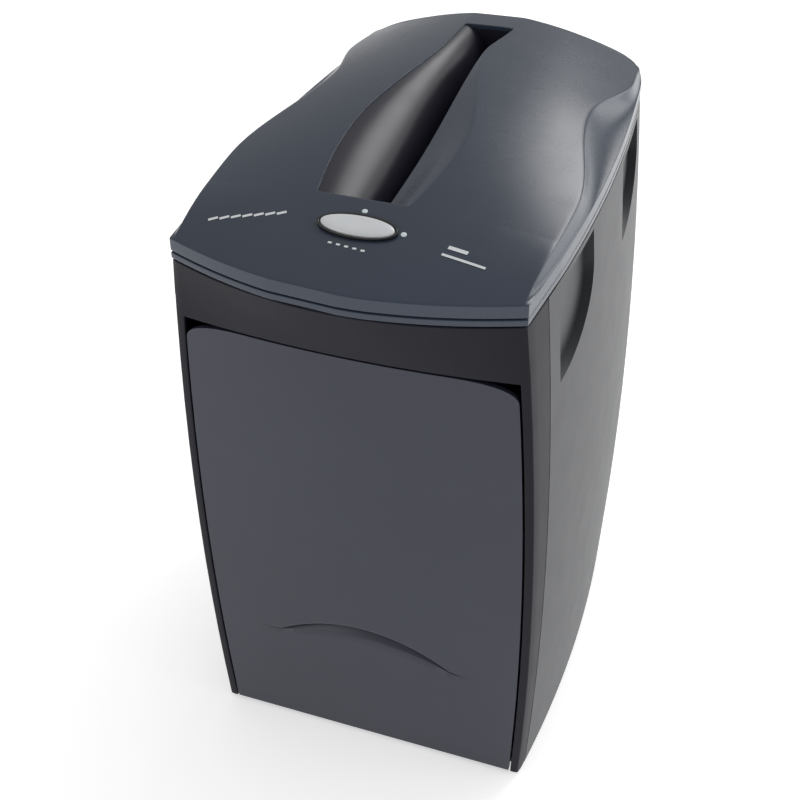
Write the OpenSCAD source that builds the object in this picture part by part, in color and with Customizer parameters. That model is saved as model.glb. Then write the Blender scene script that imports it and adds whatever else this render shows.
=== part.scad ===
// Deskside paper shredder with a front-to-back throat and a pull-out bin.
// Z is up, the front faces -Y and the origin is under the middle of the case, on the floor.

/* [Case] */
// Width across the front corners at the hood seam
front_w = 236; // [210:1:290]
// Width across the back at the hood seam
back_w = 222; // [190:1:270]
// Depth from the front corners to the back at the hood seam
case_d = 342; // [320:1:410]
// How far the front bows out between its corners at the seam
front_bow = 27; // [12:1:36]
// How far the front bows out at the top of the bin
bin_bow = 9; // [4:1:14]
// How far each side swells out half way up
belly = 8; // [0:0.5:10]
// How far each side bows out between its corners
side_bow = 9; // [4:1:12]
// Height of the seam between case and hood
seam_z = 430; // [400:1:520]
// Share by which the case is wider at the floor than at the seam
flare = 0.034; // [0:0.002:0.05]
// How far the front leans back at the floor
front_lean = 22; // [8:1:26]
// How far the back leans in at the floor
back_lean = 18; // [10:1:24]
// Radius of the two upright back corners
back_r = 20; // [14:1:26]
// Wall of the moulded case pieces
wall = 3; // [2.2:0.2:3.6]
// Width of the front frame along each side
strip_w = 35; // [28:1:44]
// Width of the back panel
rear_panel_w = 160; // [130:2:180]
// Height of the fixed brow over the bin
brow_h = 46; // [36:1:60]

/* [Hood] */
// Height of the upright band above the seam
band_h = 15; // [10:1:20]
// Height of the hood over its band
crown_h = 35; // [28:1:44]
// Drop of the hood's ridge at the back edge
back_drop = 3; // [1:0.5:6]
// Place along Y of the hood's highest point
peak_y = 90; // [60:1:110]
// Deepest inward sweep of the crest line on each flank
pinch = 21; // [12:1:28]
// Place along Y of that deepest point
pinch_y = 60; // [50:1:80]

/* [Throat] */
// Middle of the paper slot along Y
slot_y = 30; // [20:1:40]
// Length of the paper slot
slot_len = 230; // [216:2:240]
// Gap of the paper slot
slot_gap = 8; // [6:0.5:10]
// Width of the rolled guide on the left of the slot
guide_w = 40; // [30:1:46]
// Extra length of the trough at each end of the slot
trough_end = 14; // [8:1:16]
// Wall of the throat guide
guide_t = 2.4; // [1.6:0.2:3]

/* [Bin] */
// Thickness of the bin's front
front_t = 4; // [3:0.2:5]
// Wall of the bin's bucket
bucket_t = 2.4; // [1.8:0.2:3]
// Width of the arched finger grip
grip_w = 132; // [100:2:150]
// Height of the arched grip's crown above the floor
grip_z = 126; // [100:1:160]
// Depth of the grip's pocket
grip_d = 16; // [12:1:22]

/* [Cutters] */
// Distance between the two cutter shafts
shaft_gap = 34; // [32:0.5:38]
// Radius of a cutter disc
disc_r = 19; // [18.5:0.1:19.5]
// Thickness of a cutter disc
disc_t = 3.8; // [3:0.1:3.9]
// Distance from one disc to the next on a shaft
disc_pitch = 8; // [8:0.25:10]
// Across-corners size of the hexagon shafts
hex_d = 16; // [14:0.5:17]
// Diameter of the shaft ends in their bushes
journal_d = 10; // [8:0.5:11]
// Drop of both cutter shafts under the hood seam
cutter_drop = 28; // [26:0.5:32]
// Thickness of the two end plates
plate_t = 4; // [3:0.5:5]

/* [Drive] */
// Teeth of the two equal cutter gears
pair_teeth = 20; // [18:2:22]
// Module of the slow gears
slow_m = 1.25; // [1.25:0.05:1.3]
// Teeth of the big gear on the left cutter shaft
big_teeth = 38; // [36:1:38]
// Teeth of the small half of the middle gear
small_teeth = 12; // [12:1:13]
// Module of the fast gears
fast_m = 0.75; // [0.7:0.05:0.8]
// Teeth of the large half of the middle gear
wheel_teeth = 60; // [56:1:60]
// Teeth of the motor's pinion
pinion_teeth = 14; // [14:1:15]
// Width of each gear
gear_w = 8; // [6:0.5:8]
// Outer radius of the motor
motor_r = 29; // [26:0.5:30]
// Length of the motor
motor_len = 104; // [90:1:120]

/* [Control] */
// Width of the oval rocker
rocker_w = 49; // [42:1:58]
// Depth of the oval rocker from front to back
rocker_d = 18; // [16:1:24]
// Place of the rocker along Y
rocker_y = -127; // [-134:1:-126]

/* [Fits] */
// Gap between neighbouring case pieces
seam_gap = 0.4; // [0.3:0.1:0.8]
// Radial clearance of a shaft in its bush
run_fit = 0.05; // [0.02:0.01:0.1]
// Clearance around a piece that slides
slide_fit = 1; // [0.6:0.1:1.5]

/* [Hidden] */

slim = 0.01;
bin_top = seam_z - brow_h;
cutter_z = seam_z - cutter_drop;
front_y = -(case_d + front_bow) / 2 + front_bow;
back_y = front_y + case_d;
strip_y = front_y + strip_w;
band_top = seam_z + band_h;
crown_z = band_top + crown_h;
foot_h = 4;
base_t = 4;
base_top = foot_h + base_t;
skirt_z = foot_h;
bin_bottom = skirt_z + 1;
shelf_t = 3;
shelf_z = bin_top - 16;
shelf_top = shelf_z + shelf_t;
front_steps = 12;
side_steps = 8;
corner_steps = 4;

// Case outline: half widths, front and back lines and bows at any height
function mix(a, b, t) = a + (b - a) * t;
function low(z) = 1 - z / seam_z;
function swell(z) = 4 * belly * low(z) * (1 - low(z));
function half_front(z) = front_w / 2 * (1 + flare * low(z)) + swell(z);
function half_back(z) = back_w / 2 * (1 + flare * low(z)) + swell(z);
level_steps = 4;
function levels(z0, z1) = concat([z0],
    [for (i = [1 : level_steps]) let(z = bin_top * i / level_steps) if (z > z0 + 1 && z < z1 - 1) z],
    [z1]);
function corner_y(z) = front_y + front_lean * low(z);
function rear_y(z) = back_y - back_lean * low(z);
function bow(z) = z > bin_top
    ? mix(bin_bow, front_bow, (z - bin_top) / (seam_z - bin_top))
    : bin_bow * z / bin_top;
function face_y(x, z) = corner_y(z) - bow(z) * (1 - pow(x / half_front(z), 2));
function side_x(y, z) = let(s = (y - corner_y(z)) / (rear_y(z) - back_r - corner_y(z)))
    mix(half_front(z), half_back(z), s) + side_bow * (1 - pow(2 * s - 1, 2));

function right_side(z, t) = let(
        hf = half_front(z) - t, hb = half_back(z) - t,
        yf = corner_y(z) + t, r = back_r - t, yb = rear_y(z) - t - r)
    concat(
        [for (i = [1 : side_steps]) let(s = i / side_steps)
            [mix(hf, hb, s) + side_bow * (1 - pow(2 * s - 1, 2)), mix(yf, yb, s)]],
        [for (i = [1 : corner_steps]) let(a = 90 * i / corner_steps)
            [hb - r + r * cos(a), yb + r * sin(a)]]);
function front_side(z, t) = let(hf = half_front(z) - t, yf = corner_y(z) + t)
    [for (i = [0 : front_steps]) let(s = 2 * i / front_steps - 1)
        [hf * s, yf - bow(z) * (1 - s * s)]];
function outline(z, t = 0) = let(side = right_side(z, t), n = len(side))
    concat(front_side(z, t), side, [for (i = [n - 1 : -1 : 0]) [-side[i][0], side[i][1]]]);

// A closed solid through rings of points that all have the same count
module loft(rings) {
    n = len(rings[0]);
    m = len(rings);
    points = [for (ring = rings) for (p = ring) p];
    sides = [for (k = [0 : m - 2]) for (j = [0 : n - 1]) let(
            a = k * n + j, b = k * n + (j + 1) % n, c = b + n, d = a + n)
        each [[a, d, c], [a, c, b]]];
    bottom = [for (j = [0 : n - 1]) j];
    top = [for (j = [n - 1 : -1 : 0]) (m - 1) * n + j];
    polyhedron(points, concat([bottom], sides, [top]));
}

// The case's outer form between two heights, drawn in by t
module case_form(t, z0, z1) {
    loft([for (z = levels(z0, z1)) [for (p = outline(z, t)) [p[0], p[1], z]]]);
}

module case_wall(z0, z1) {
    difference() {
        case_form(0, z0, z1);
        case_form(wall, z0 - 1, z1 + 1);
    }
}

// A box between two corners
module block(a, b) {
    translate(a) cube(b - a);
}

// Turns a shape drawn in X and Z so that its height runs along -Y from y
module along_y(y) {
    translate([0, y, 0]) rotate([90, 0, 0]) children();
}

module rod_y(x, z, y0, y1, r) {
    translate([x, y1, z]) rotate([90, 0, 0]) cylinder(r = r, h = y1 - y0, $fn = 40);
}

/* Hood */
function ridge_z(y) = y < peak_y
    ? crown_z - crown_h * pow((peak_y - y) / (peak_y - front_y + front_bow), 2)
    : crown_z - back_drop * pow((y - peak_y) / (back_y - peak_y), 2);
crown_flat = 0.0002;
crown_round = 0.0022;
function crown_k(y) = mix(crown_flat, crown_round, (y - front_y) / case_d);
pinch_start = front_y + 96;
pinch_end = back_y - 38;
function crest_x(y) = side_x(min(max(y, front_y), back_y - back_r), seam_z) - 1
    - (y < pinch_start || y > pinch_end ? 0
    : y < pinch_y ? pinch * pow(sin(90 * (y - pinch_start) / (pinch_y - pinch_start)), 2)
    : pinch * pow(cos(90 * (y - pinch_y) / (pinch_end - pinch_y)), 2));
function crest_z(y) = max(band_top + 1, ridge_z(y) - crown_k(y) * pow(crest_x(y), 2));
crown_steps = 4;
flank_steps = 3;
loaf_half = front_w / 2 + side_bow + 2;

function half_section(y, t) = let(xc = crest_x(y), zc = crest_z(y), lo = band_top)
    concat(
        [for (i = [flank_steps : -1 : 1]) let(s = i / flank_steps)
            [mix(xc, loaf_half, s), mix(zc, lo, 1 - pow(1 - s, 2)) - t]],
        [for (i = [crown_steps : -1 : 1]) let(x = xc * i / crown_steps)
            [x, mix(ridge_z(y), zc, pow(i / crown_steps, 2)) - t]]);
function section(y, t, floor_z) = let(h = half_section(y, t), n = len(h))
    concat([[loaf_half, y, floor_z]],
        [for (p = h) [p[0], y, p[1]]],
        [[0, y, ridge_z(y) - t]],
        [for (i = [n - 1 : -1 : 0]) [-h[i][0], y, h[i][1]]],
        [[-loaf_half, y, floor_z]]);
loaf_steps = 16;

// The hood's outer form, drawn in by t, with its floor at floor_z
module hood_form(t, floor_z) {
    y0 = front_y - front_bow - 2;
    y1 = back_y + 2;
    intersection() {
        loft([for (i = [0 : loaf_steps]) section(mix(y1, y0, i / loaf_steps), t, floor_z)]);
        translate([0, 0, floor_z]) linear_extrude(crown_z) polygon(outline(seam_z, t));
    }
}

slot_y0 = slot_y - slot_len / 2;
slot_y1 = slot_y + slot_len / 2;
trough_y0 = slot_y0 - trough_end;
trough_y1 = slot_y1 + trough_end;
slot_x = slot_gap / 2;
slot_z = cutter_z + disc_r + 4;
roll_z = ridge_z(trough_y0) - wall - 2.5;

// Left guide face: a quarter roll from the hood's edge down into the slot
roll_steps = 10;
function guide_line(d) = [for (i = [0 : roll_steps]) let(a = 90 * i / roll_steps)
    [-slot_x - d - guide_w * (1 - sin(a)), slot_z + (roll_z - slot_z) * cos(a)]];
module guide_profile(grow) {
    polygon(concat(
        [[-slot_x - grow - guide_w, crown_z + 10]],
        guide_line(grow),
        [[-slot_x - grow, slot_z - 6], [slot_x + grow, slot_z - 6],
         [slot_x + grow, crown_z + 10]]));
}

ctrl_tilt = atan(2 * crown_h * (peak_y - rocker_y) / pow(peak_y - front_y + front_bow, 2));
module control_place() {
    translate([-2, rocker_y, ridge_z(rocker_y)]) rotate([ctrl_tilt, 0, 0]) children();
}
function oval(w, d, n = 48) = [for (i = [0 : n - 1]) [w / 2 * cos(360 * i / n),
    d / 2 * sin(360 * i / n)]];
module oval_slab(w, d, z0, z1) {
    translate([0, 0, z0]) linear_extrude(z1 - z0) polygon(oval(w, d));
}
bezel_rim = 2.6;
lens_places = [[-1, rocker_d / 2 + bezel_rim + 4], [rocker_w / 2 + bezel_rim + 3, 1]];
lens_r = 2;
board_w = 84;
board_d = 40;
board_drop = 19;
board_t = 1.6;
board_posts = [[-34, -14], [34, -14], [-34, 14], [34, 14]];
post_r = 3.4;

module hood_shell() color("#39434d") {
    difference() {
        union() {
            difference() {
                hood_form(0, seam_z);
                hood_form(wall, seam_z - 1);
            }
            difference() {
                control_place() for (p = board_posts)
                    translate([p[0], p[1], -board_drop]) cylinder(r = post_r, h = board_drop, $fn = 24);
                block([-front_w, -case_d, crown_z - 8], [front_w, 0, crown_z + 30]);
                difference() {
                    block([-front_w, -case_d, seam_z], [front_w, 0, crown_z + 20]);
                    hood_form(wall, seam_z);
                }
            }
        }
        block([-slot_x - guide_w, trough_y0, seam_z + 1], [slot_x, trough_y1, crown_z + 9]);
        control_place() {
            oval_slab(rocker_w + 2 * bezel_rim, rocker_d + 2 * bezel_rim, -12, 12);
            for (p = lens_places) translate([p[0], p[1], -12]) cylinder(r = lens_r, h = 30, $fn = 24);
        }
    }
}

module throat_guide() color("#1d2025") {
    intersection() {
        difference() {
            along_y(trough_y1 + guide_t) linear_extrude(trough_y1 - trough_y0 + 2 * guide_t)
                guide_profile(guide_t);
            along_y(trough_y1) linear_extrude(trough_y1 - trough_y0) difference() {
                guide_profile(0);
                translate([-guide_w, slot_z - 20]) square([2 * guide_w, 15]);
            }
            block([-slot_x, slot_y0, slot_z - 20], [slot_x, slot_y1, slot_z + 6]);
            block([0, slot_y - lever_gap, lever_z - 14], [guide_w, slot_y + lever_gap, lever_z + 6]);
        }
        hood_form(wall, slot_z - 5.5);
    }
}

/* Case */
leg_y_gap = front_t + 2;

// Everything ahead of the case front drawn in by d, between two heights
module front_slice(d, z0, z1) {
    loft([for (z = levels(z0, z1)) concat(
        [for (i = [0 : front_steps]) let(x = (half_front(z) + 4) * (2 * i / front_steps - 1))
            [x, face_y(x, z) + d, z]],
        [for (i = [front_steps : -1 : 0]) let(x = (half_front(z) + 4) * (2 * i / front_steps - 1))
            [x, face_y(x, z) + d + 400, z]])]);
}

module front_frame() color("#24272c") {
    split_z = bin_top + 1.5;
    intersection() {
        case_wall(split_z, seam_z - seam_gap);
        block([-front_w, -case_d, 0], [front_w, strip_y, crown_z]);
    }
    intersection() {
        case_wall(skirt_z, split_z + slim);
        block([-front_w, -case_d, 0], [front_w, strip_y, crown_z]);
        union() {
            front_slice(leg_y_gap, skirt_z - 1, split_z + 1);
            difference() {
                block([-front_w, -case_d, 0], [front_w, strip_y, crown_z]);
                along_y(0) linear_extrude(case_d) polygon(panel_outline(2 * seam_gap));
            }
        }
    }
    intersection() {
        case_form(wall - slim, skirt_z + slim, split_z + 4);
        difference() {
            front_slice(leg_y_gap, skirt_z, split_z + 4);
            front_slice(leg_y_gap + wall, skirt_z - 1, split_z + 5);
            block([-bucket_half - 2, -case_d, 0], [bucket_half + 2, case_d, crown_z]);
        }
    }
}

// Hand-hold scoops under the seam: outline in Y and Z, front one and rear one
scoop_top = seam_z - 5;
scoop_d = 7;
scoop_wall = 2;
scoop_back = scoop_d + scoop_wall;
front_scoop = [strip_y + 20, 78, 70];
rear_scoop = [back_y - 112, 76, 62];
scoop_steps = 8;
function scoop_outline(s, grow) = concat(
    [[s[0] - grow, scoop_top + grow], [s[0] + s[1] + grow, scoop_top + grow]],
    [for (i = [0 : scoop_steps]) let(a = 90 * i / scoop_steps)
        [s[0] - grow + (s[1] + 2 * grow) * cos(a), scoop_top - s[2] * 0.35
            - (s[2] * 0.65 + grow) * sin(a)]]);
module scoop(side, s, grow, d0, d1) {
    x0 = side_x(s[0] + s[1] / 2, scoop_top);
    for (sx = [side]) translate([sx > 0 ? x0 - d0 : -x0 + d1, 0, 0]) rotate([90, 0, 90])
        linear_extrude(d0 - d1) polygon(scoop_outline(s, grow));
}

rear_tab = 16;
shelf_in = scoop_back + 1 + side_x(rear_scoop[0], shelf_z)
    - side_x(rear_scoop[0] + rear_scoop[1] / 2, scoop_top);
shelf_edge = half_back(shelf_z) - shelf_in - 6;
module side_panel(side) {
    inner_x = rear_panel_w / 2;
    difference() {
        union() {
            intersection() {
                case_wall(skirt_z, seam_z - seam_gap);
                block([side > 0 ? inner_x + seam_gap : -front_w, strip_y + seam_gap, 0],
                      [side > 0 ? front_w : -inner_x - seam_gap, case_d, crown_z]);
            }
            intersection() {
                union() {
                    for (s = [front_scoop, rear_scoop]) scoop(side, s, scoop_wall, scoop_back, -8);
                    block([side > 0 ? shelf_edge : -front_w, strip_y + 8, shelf_z - 6],
                          [side > 0 ? front_w : -shelf_edge, back_y - back_r, shelf_z]);
                }
                case_form(wall - slim, skirt_z, seam_z - seam_gap);
            }
            intersection() {
                difference() {
                    case_form(wall, skirt_z, seam_z - seam_gap);
                    case_form(2 * wall, skirt_z - 1, seam_z);
                }
                block([side > 0 ? inner_x - rear_tab : -inner_x - 4, 0, base_top + seam_gap],
                      [side > 0 ? inner_x + 4 : -inner_x + rear_tab, case_d, crown_z]);
            }
        }
        for (s = [front_scoop, rear_scoop]) scoop(side, s, 0, scoop_d, -12);
        for (p = back_screw_places) at_back(p[0], p[1])
            translate([0, 0, -20]) cylinder(r = screw_r, h = 40, $fn = 24);
    }
}
module side_panel_left() color("#4a4f54") side_panel(-1);
module side_panel_right() color("#4a4f54") side_panel(1);

inlet_w = 27.6;
inlet_h = 20;
inlet_flange = 25;
inlet_x = rear_panel_w / 2 - rear_tab - inlet_flange - 3;
inlet_z = shelf_top + inlet_h / 2 + 4;
module at_back(x, z) {
    translate([x, rear_y(z), z]) rotate([90 - back_tilt, 0, 0]) children();
}
back_tilt = atan(back_lean / seam_z);
back_screw_x = rear_panel_w / 2 - 8;
back_screw_places = [for (x = [-back_screw_x, back_screw_x]) for (z = [30, seam_z - 24]) [x, z]];
screw_r = 2;

module back_panel() color("#3c4046") {
    difference() {
        intersection() {
            case_wall(skirt_z, seam_z - seam_gap);
            block([-rear_panel_w / 2, 0, 0], [rear_panel_w / 2, case_d, crown_z]);
        }
        at_back(inlet_x, inlet_z) translate([-inlet_w / 2, -inlet_h / 2, -20])
            cube([inlet_w, inlet_h, 40]);
        for (x = [-1, 1]) at_back(inlet_x + x * 20, inlet_z)
            translate([0, 0, -20]) cylinder(r = screw_r, h = 40, $fn = 24);
        for (p = back_screw_places) at_back(p[0], p[1])
            translate([0, 0, -20]) cylinder(r = screw_r, h = 40, $fn = 24);
        for (i = [0 : 8]) block([-64, 0, seam_z - 62 + 5 * i], [0, case_d, seam_z - 59.6 + 5 * i]);
    }
}

foot_inset = 26;
foot_r = 10;
foot_places = [for (s = [-1, 1]) each [
    [s * (half_front(0) - foot_inset), corner_y(0) + foot_inset],
    [s * (half_back(0) - foot_inset), rear_y(0) - foot_inset]]];
// The runners stand on the base and carry the bucket
runner_h = 5;
runner_w = 10;
bucket_half = half_back(0) - wall - slide_fit - 3;
runner_x = bucket_half - runner_w;
base_screw_r = 1.5;
base_screw_l = 7;
base_screw_places = [for (s = [-1, 1]) for (k = [0, 1])
    [s * runner_x, mix(corner_y(0) + 46, rear_y(0) - wall - 50, k)]];

module base_tray() color("#2a2d31") {
    difference() {
        union() {
            translate([0, 0, foot_h]) linear_extrude(base_t) polygon(concat(
                [[half_front(base_top) - wall - seam_gap, corner_y(0) + leg_y_gap + wall + seam_gap]],
                right_side(base_top, wall + seam_gap),
                [for (i = [side_steps + corner_steps - 1 : -1 : 0])
                    let(p = right_side(base_top, wall + seam_gap)[i]) [-p[0], p[1]]],
                [[-half_front(base_top) + wall + seam_gap,
                  corner_y(0) + leg_y_gap + wall + seam_gap]]));
            for (s = [-1, 1]) block([s * 60 - 1.5, corner_y(0) + 30, base_top - slim],
                                    [s * 60 + 1.5, rear_y(0) - 30, base_top + 2]);
        }
        for (p = foot_places) translate([p[0], p[1], foot_h - 1])
            cylinder(r = 2, h = base_t + 2, $fn = 24);
        for (p = base_screw_places) translate([p[0], p[1], foot_h - 1])
            cylinder(r = base_screw_r + 0.1, h = base_t + 2, $fn = 24);
    }
}

module rubber_feet() color("#111315") {
    for (p = foot_places) translate([p[0], p[1], 0]) {
        difference() {
            cylinder(r = foot_r, h = foot_h, $fn = 40);
            translate([0, 0, -1]) cylinder(r = 3, h = 2, $fn = 24);
        }
        translate([0, 0, foot_h - slim]) cylinder(r = 1.9, h = base_t, $fn = 24);
    }
}

module runner(side) {
    y0 = corner_y(0) + leg_y_gap + 14;
    y1 = rear_y(0) - wall - 12;
    difference() {
        block([side * runner_x - runner_w / 2, y0, base_top],
              [side * runner_x + runner_w / 2, y1, base_top + runner_h]);
        for (p = base_screw_places) translate([p[0], p[1], base_top - 1])
            cylinder(r = base_screw_r + 0.1, h = base_screw_l - base_t + 1.2, $fn = 24);
    }
}
module bin_runner_left() color("#15171a") runner(-1);
module bin_runner_right() color("#15171a") runner(1);

module base_screws() color("#8c9094") {
    for (p = base_screw_places) translate([p[0], p[1], foot_h - 1.2]) {
        cylinder(r = 3.4, h = 1.2, $fn = 24);
        cylinder(r = base_screw_r, h = base_screw_l + 1.2, $fn = 24);
    }
}

shelf_hole = shaft_gap / 2 + disc_r + 1;
module head_shelf() color("#1b1d20") {
    difference() {
        intersection() {
            translate([0, 0, shelf_z]) linear_extrude(shelf_t)
                polygon(outline(shelf_z, shelf_in));
            front_slice(leg_y_gap + wall + 1, shelf_z - 2, shelf_top + 2);
        }
        block([-shelf_hole, slot_y0 + 2, shelf_z - 1], [shelf_hole, slot_y1 - 2, shelf_top + 1]);
    }
}

/* Control */
rock_gap = 1.1;
pivot_drop = 5;
pin_r = 1.5;
bezel_h = 9;
module control_bezel() color("#0d0e10") {
    control_place() difference() {
        oval_slab(rocker_w + 2 * bezel_rim - 0.1, rocker_d + 2 * bezel_rim - 0.1, -bezel_h, 1.4);
        oval_slab(rocker_w + 2 * rock_gap, rocker_d + 2 * rock_gap, -bezel_h - 1, 3);
        translate([0, rocker_d, -pivot_drop]) rotate([90, 0, 0])
            cylinder(r = pin_r + run_fit, h = 2 * rocker_d, $fn = 32);
    }
}

module control_rocker() color("#c9ccd0") {
    control_place() {
        intersection() {
            oval_slab(rocker_w, rocker_d, -2.4, 3.4);
            translate([0, rocker_d, 3 - rocker_w * 2]) rotate([90, 0, 0])
                cylinder(r = rocker_w * 2, h = 2 * rocker_d, $fn = 180);
        }
        block([-4, 2 - rocker_d / 2, -7], [4, rocker_d / 2 - 2, -2]);
        translate([0, rocker_d / 2 + 2.2, -pivot_drop]) rotate([90, 0, 0])
            cylinder(r = pin_r, h = rocker_d + 4.4, $fn = 32);
    }
}

module indicator_lenses() color("#d8e4e0") {
    control_place() for (p = lens_places) translate([p[0], p[1], -7]) {
        cylinder(r = lens_r - 0.1, h = 7.4, $fn = 24);
    }
}

module control_board() color("#1f5a35") {
    control_place() translate([-board_w / 2, -board_d / 2, -board_drop - board_t])
        cube([board_w, board_d, board_t]);
}

module rocker_switch() color("#17181a") {
    control_place() {
        block([-11, -7, -board_drop], [11, 7, -board_drop + 6]);
        for (s = [-1, 1]) block([s * 8 - 2, -2, -board_drop + 6 - slim],
                                [s * 8 + 2, 2, -board_drop + 8.6]);
    }
}

/* Bin */
panel_edge = 8;
panel_r = 13;
bucket_y0 = corner_y(0) + front_t + grip_d - 5;
bucket_y1 = rear_y(0) - wall - 4;
bucket_z0 = base_top + runner_h;
bucket_z1 = shelf_z - 8;
bucket_r = 14;
boss_x = 72;
boss_places = [for (x = [-boss_x, boss_x]) for (z = [58, bin_top - 60]) [x, z]];
grip_rise = 24;
grip_open = 10;
grip_steps = 16;
function panel_half(z) = half_front(z) - panel_edge;
function panel_side(grow) = concat(
    [for (z = levels(bin_bottom - grow * 5, bin_top - panel_r - 5)) [panel_half(z) + grow, z]],
    [for (i = [0 : corner_steps]) let(a = 90 * i / corner_steps)
        [panel_half(bin_top) - panel_r + (panel_r + grow) * cos(a),
         bin_top - panel_r + (panel_r + grow) * sin(a)]]);
function panel_outline(grow = 0) = let(side = panel_side(grow), n = len(side))
    concat(side, [for (i = [n - 1 : -1 : 0]) [-side[i][0], side[i][1]]]);
function grip_outline(grow) = concat(
    [for (i = [0 : grip_steps]) let(s = 2 * i / grip_steps - 1)
        [s * (grip_w / 2 + grow), grip_z + grow - grip_rise * s * s]],
    [for (i = [grip_steps - 1 : -1 : 1]) let(s = 2 * i / grip_steps - 1)
        [s * (grip_w / 2 + grow), grip_z - grow - grip_open - (grip_rise - grip_open) * s * s]]);
grip_face = face_y(0, grip_z);

module bin_front() color("#484b57") {
    difference() {
        union() {
            difference() {
                intersection() {
                    case_form(0, bin_bottom, bin_top);
                    along_y(0) linear_extrude(case_d) polygon(panel_outline());
                }
                front_slice(front_t, bin_bottom - 1, bin_top + 1);
            }
            difference() {
                along_y(grip_face + grip_d + 2) linear_extrude(grip_d) polygon(grip_outline(2));
                block([-grip_w, -case_d, 0], [grip_w, grip_face + front_t - 1, crown_z]);
            }
            for (p = boss_places) rod_y(p[0], p[1], face_y(p[0], p[1]) + front_t - 1, bucket_y0, 5);
        }
        along_y(grip_face + grip_d) linear_extrude(grip_d + 20) polygon(grip_outline(0));
        for (p = boss_places) rod_y(p[0], p[1], bucket_y0 - 8, bucket_y0 + 1, screw_r);
    }
}

function rounded_box(x0, y0, x1, y1, r) = [for (c = [[x1 - r, y0 + r, -90], [x1 - r, y1 - r, 0],
        [x0 + r, y1 - r, 90], [x0 + r, y0 + r, 180]]) for (i = [0 : corner_steps])
    let(a = c[2] + 90 * i / corner_steps) [c[0] + r * cos(a), c[1] + r * sin(a)]];

module bin_bucket() color("#2b2d30") {
    difference() {
        translate([0, 0, bucket_z0]) linear_extrude(bucket_z1 - bucket_z0)
            polygon(rounded_box(-bucket_half, bucket_y0, bucket_half, bucket_y1, bucket_r));
        translate([0, 0, bucket_z0 + bucket_t]) linear_extrude(bucket_z1)
            polygon(rounded_box(-bucket_half + bucket_t, bucket_y0 + bucket_t,
                bucket_half - bucket_t, bucket_y1 - bucket_t, bucket_r - bucket_t));
        for (p = boss_places) rod_y(p[0], p[1], bucket_y0 - 1, bucket_y0 + bucket_t + 1, screw_r);
    }
}

module bin_screws() color("#8c9094") {
    for (p = boss_places) {
        rod_y(p[0], p[1], bucket_y0 + bucket_t, bucket_y0 + bucket_t + 2, 4);
        rod_y(p[0], p[1], bucket_y0 - 7, bucket_y0 + bucket_t + slim, screw_r - 0.1);
    }
}

/* Cutter head */
shaft_x = shaft_gap / 2;
plate_top = slot_z - 6.5;
bush_r = 9;
rod_r = 3;
rod_x = shaft_x + disc_r + 4;
rod_places = [for (x = [-rod_x, rod_x]) for (z = [cutter_z - 22, cutter_z + 8]) [x, z]];
slow_c = slow_m * (big_teeth + small_teeth) / 2;
fast_c = fast_m * (wheel_teeth + pinion_teeth) / 2;
middle_x = -shaft_x - slow_c;
motor_x = middle_x - fast_c;
front_plate_y = slot_y0 - plate_t;
gear_gap = 2;
plane_a = front_plate_y - 3;
plane_b = plane_a - gear_w - gear_gap;
plane_c = plane_b - gear_w - gear_gap;
middle_pin_r = 3;
rotor_shaft_r = 3;
motor_screw_places = [for (a = [90, 210, 330])
    [motor_x + (motor_r - 7) * cos(a), cutter_z + (motor_r - 7) * sin(a)]];

module plate_holes(y0, y1) {
    for (x = [-shaft_x, shaft_x]) rod_y(x, cutter_z, y0, y1, bush_r);
    for (p = rod_places) rod_y(p[0], p[1], y0, y1, rod_r + run_fit);
}
module cutter_plate_front() color("#9aa0a6") {
    difference() {
        block([motor_x - motor_r, front_plate_y, shelf_top], [rod_x + 8, slot_y0, plate_top]);
        plate_holes(front_plate_y - 1, slot_y0 + 1);
        rod_y(motor_x, cutter_z, front_plate_y - 1, slot_y0 + 1, rotor_shaft_r + 4);
        rod_y(middle_x, cutter_z, front_plate_y - 1, slot_y0 + 1, middle_pin_r);
        for (p = motor_screw_places) rod_y(p[0], p[1], front_plate_y - 1, slot_y0 + 1, screw_r);
    }
}
module cutter_plate_rear() color("#9aa0a6") {
    difference() {
        block([-rod_x - 5, slot_y1, shelf_top], [rod_x + 8, slot_y1 + plate_t, plate_top]);
        plate_holes(slot_y1 - 1, slot_y1 + plate_t + 1);
    }
}

module tie_rods() color("#b4b9be") {
    for (p = rod_places) rod_y(p[0], p[1], front_plate_y - 5, slot_y1 + plate_t + 5, rod_r);
}
module tie_rod_nuts() color("#8f959b") {
    for (p = rod_places) for (y = [front_plate_y - 3, slot_y1 + plate_t]) difference() {
        translate([p[0], y + 3, p[1]]) rotate([90, 0, 0]) cylinder(r = 4.8, h = 3, $fn = 6);
        rod_y(p[0], p[1], y - 1, y + 4, rod_r);
    }
}

module shaft_bushes() color("#b58b4a") {
    for (x = [-shaft_x, shaft_x]) for (y = [front_plate_y - 1, slot_y1]) difference() {
        rod_y(x, cutter_z, y, y + plate_t + 1, bush_r);
        rod_y(x, cutter_z, y - 1, y + plate_t + 2, journal_d / 2 + run_fit);
    }
}

module cutter_shaft(x, front) {
    translate([x, slot_y1 - 0.6, cutter_z]) rotate([90, 0, 0])
        cylinder(r = hex_d / 2, h = slot_len - 1.2, $fn = 6);
    rod_y(x, cutter_z, front, slot_y0 + 1, journal_d / 2);
    rod_y(x, cutter_z, slot_y1 - 1, slot_y1 + plate_t + 3, journal_d / 2);
}
module cutter_shaft_left() color("#a9aeb3") cutter_shaft(-shaft_x, plane_b - gear_w - 1);
module cutter_shaft_right() color("#a9aeb3") cutter_shaft(shaft_x, plane_a - gear_w - 1);

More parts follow.
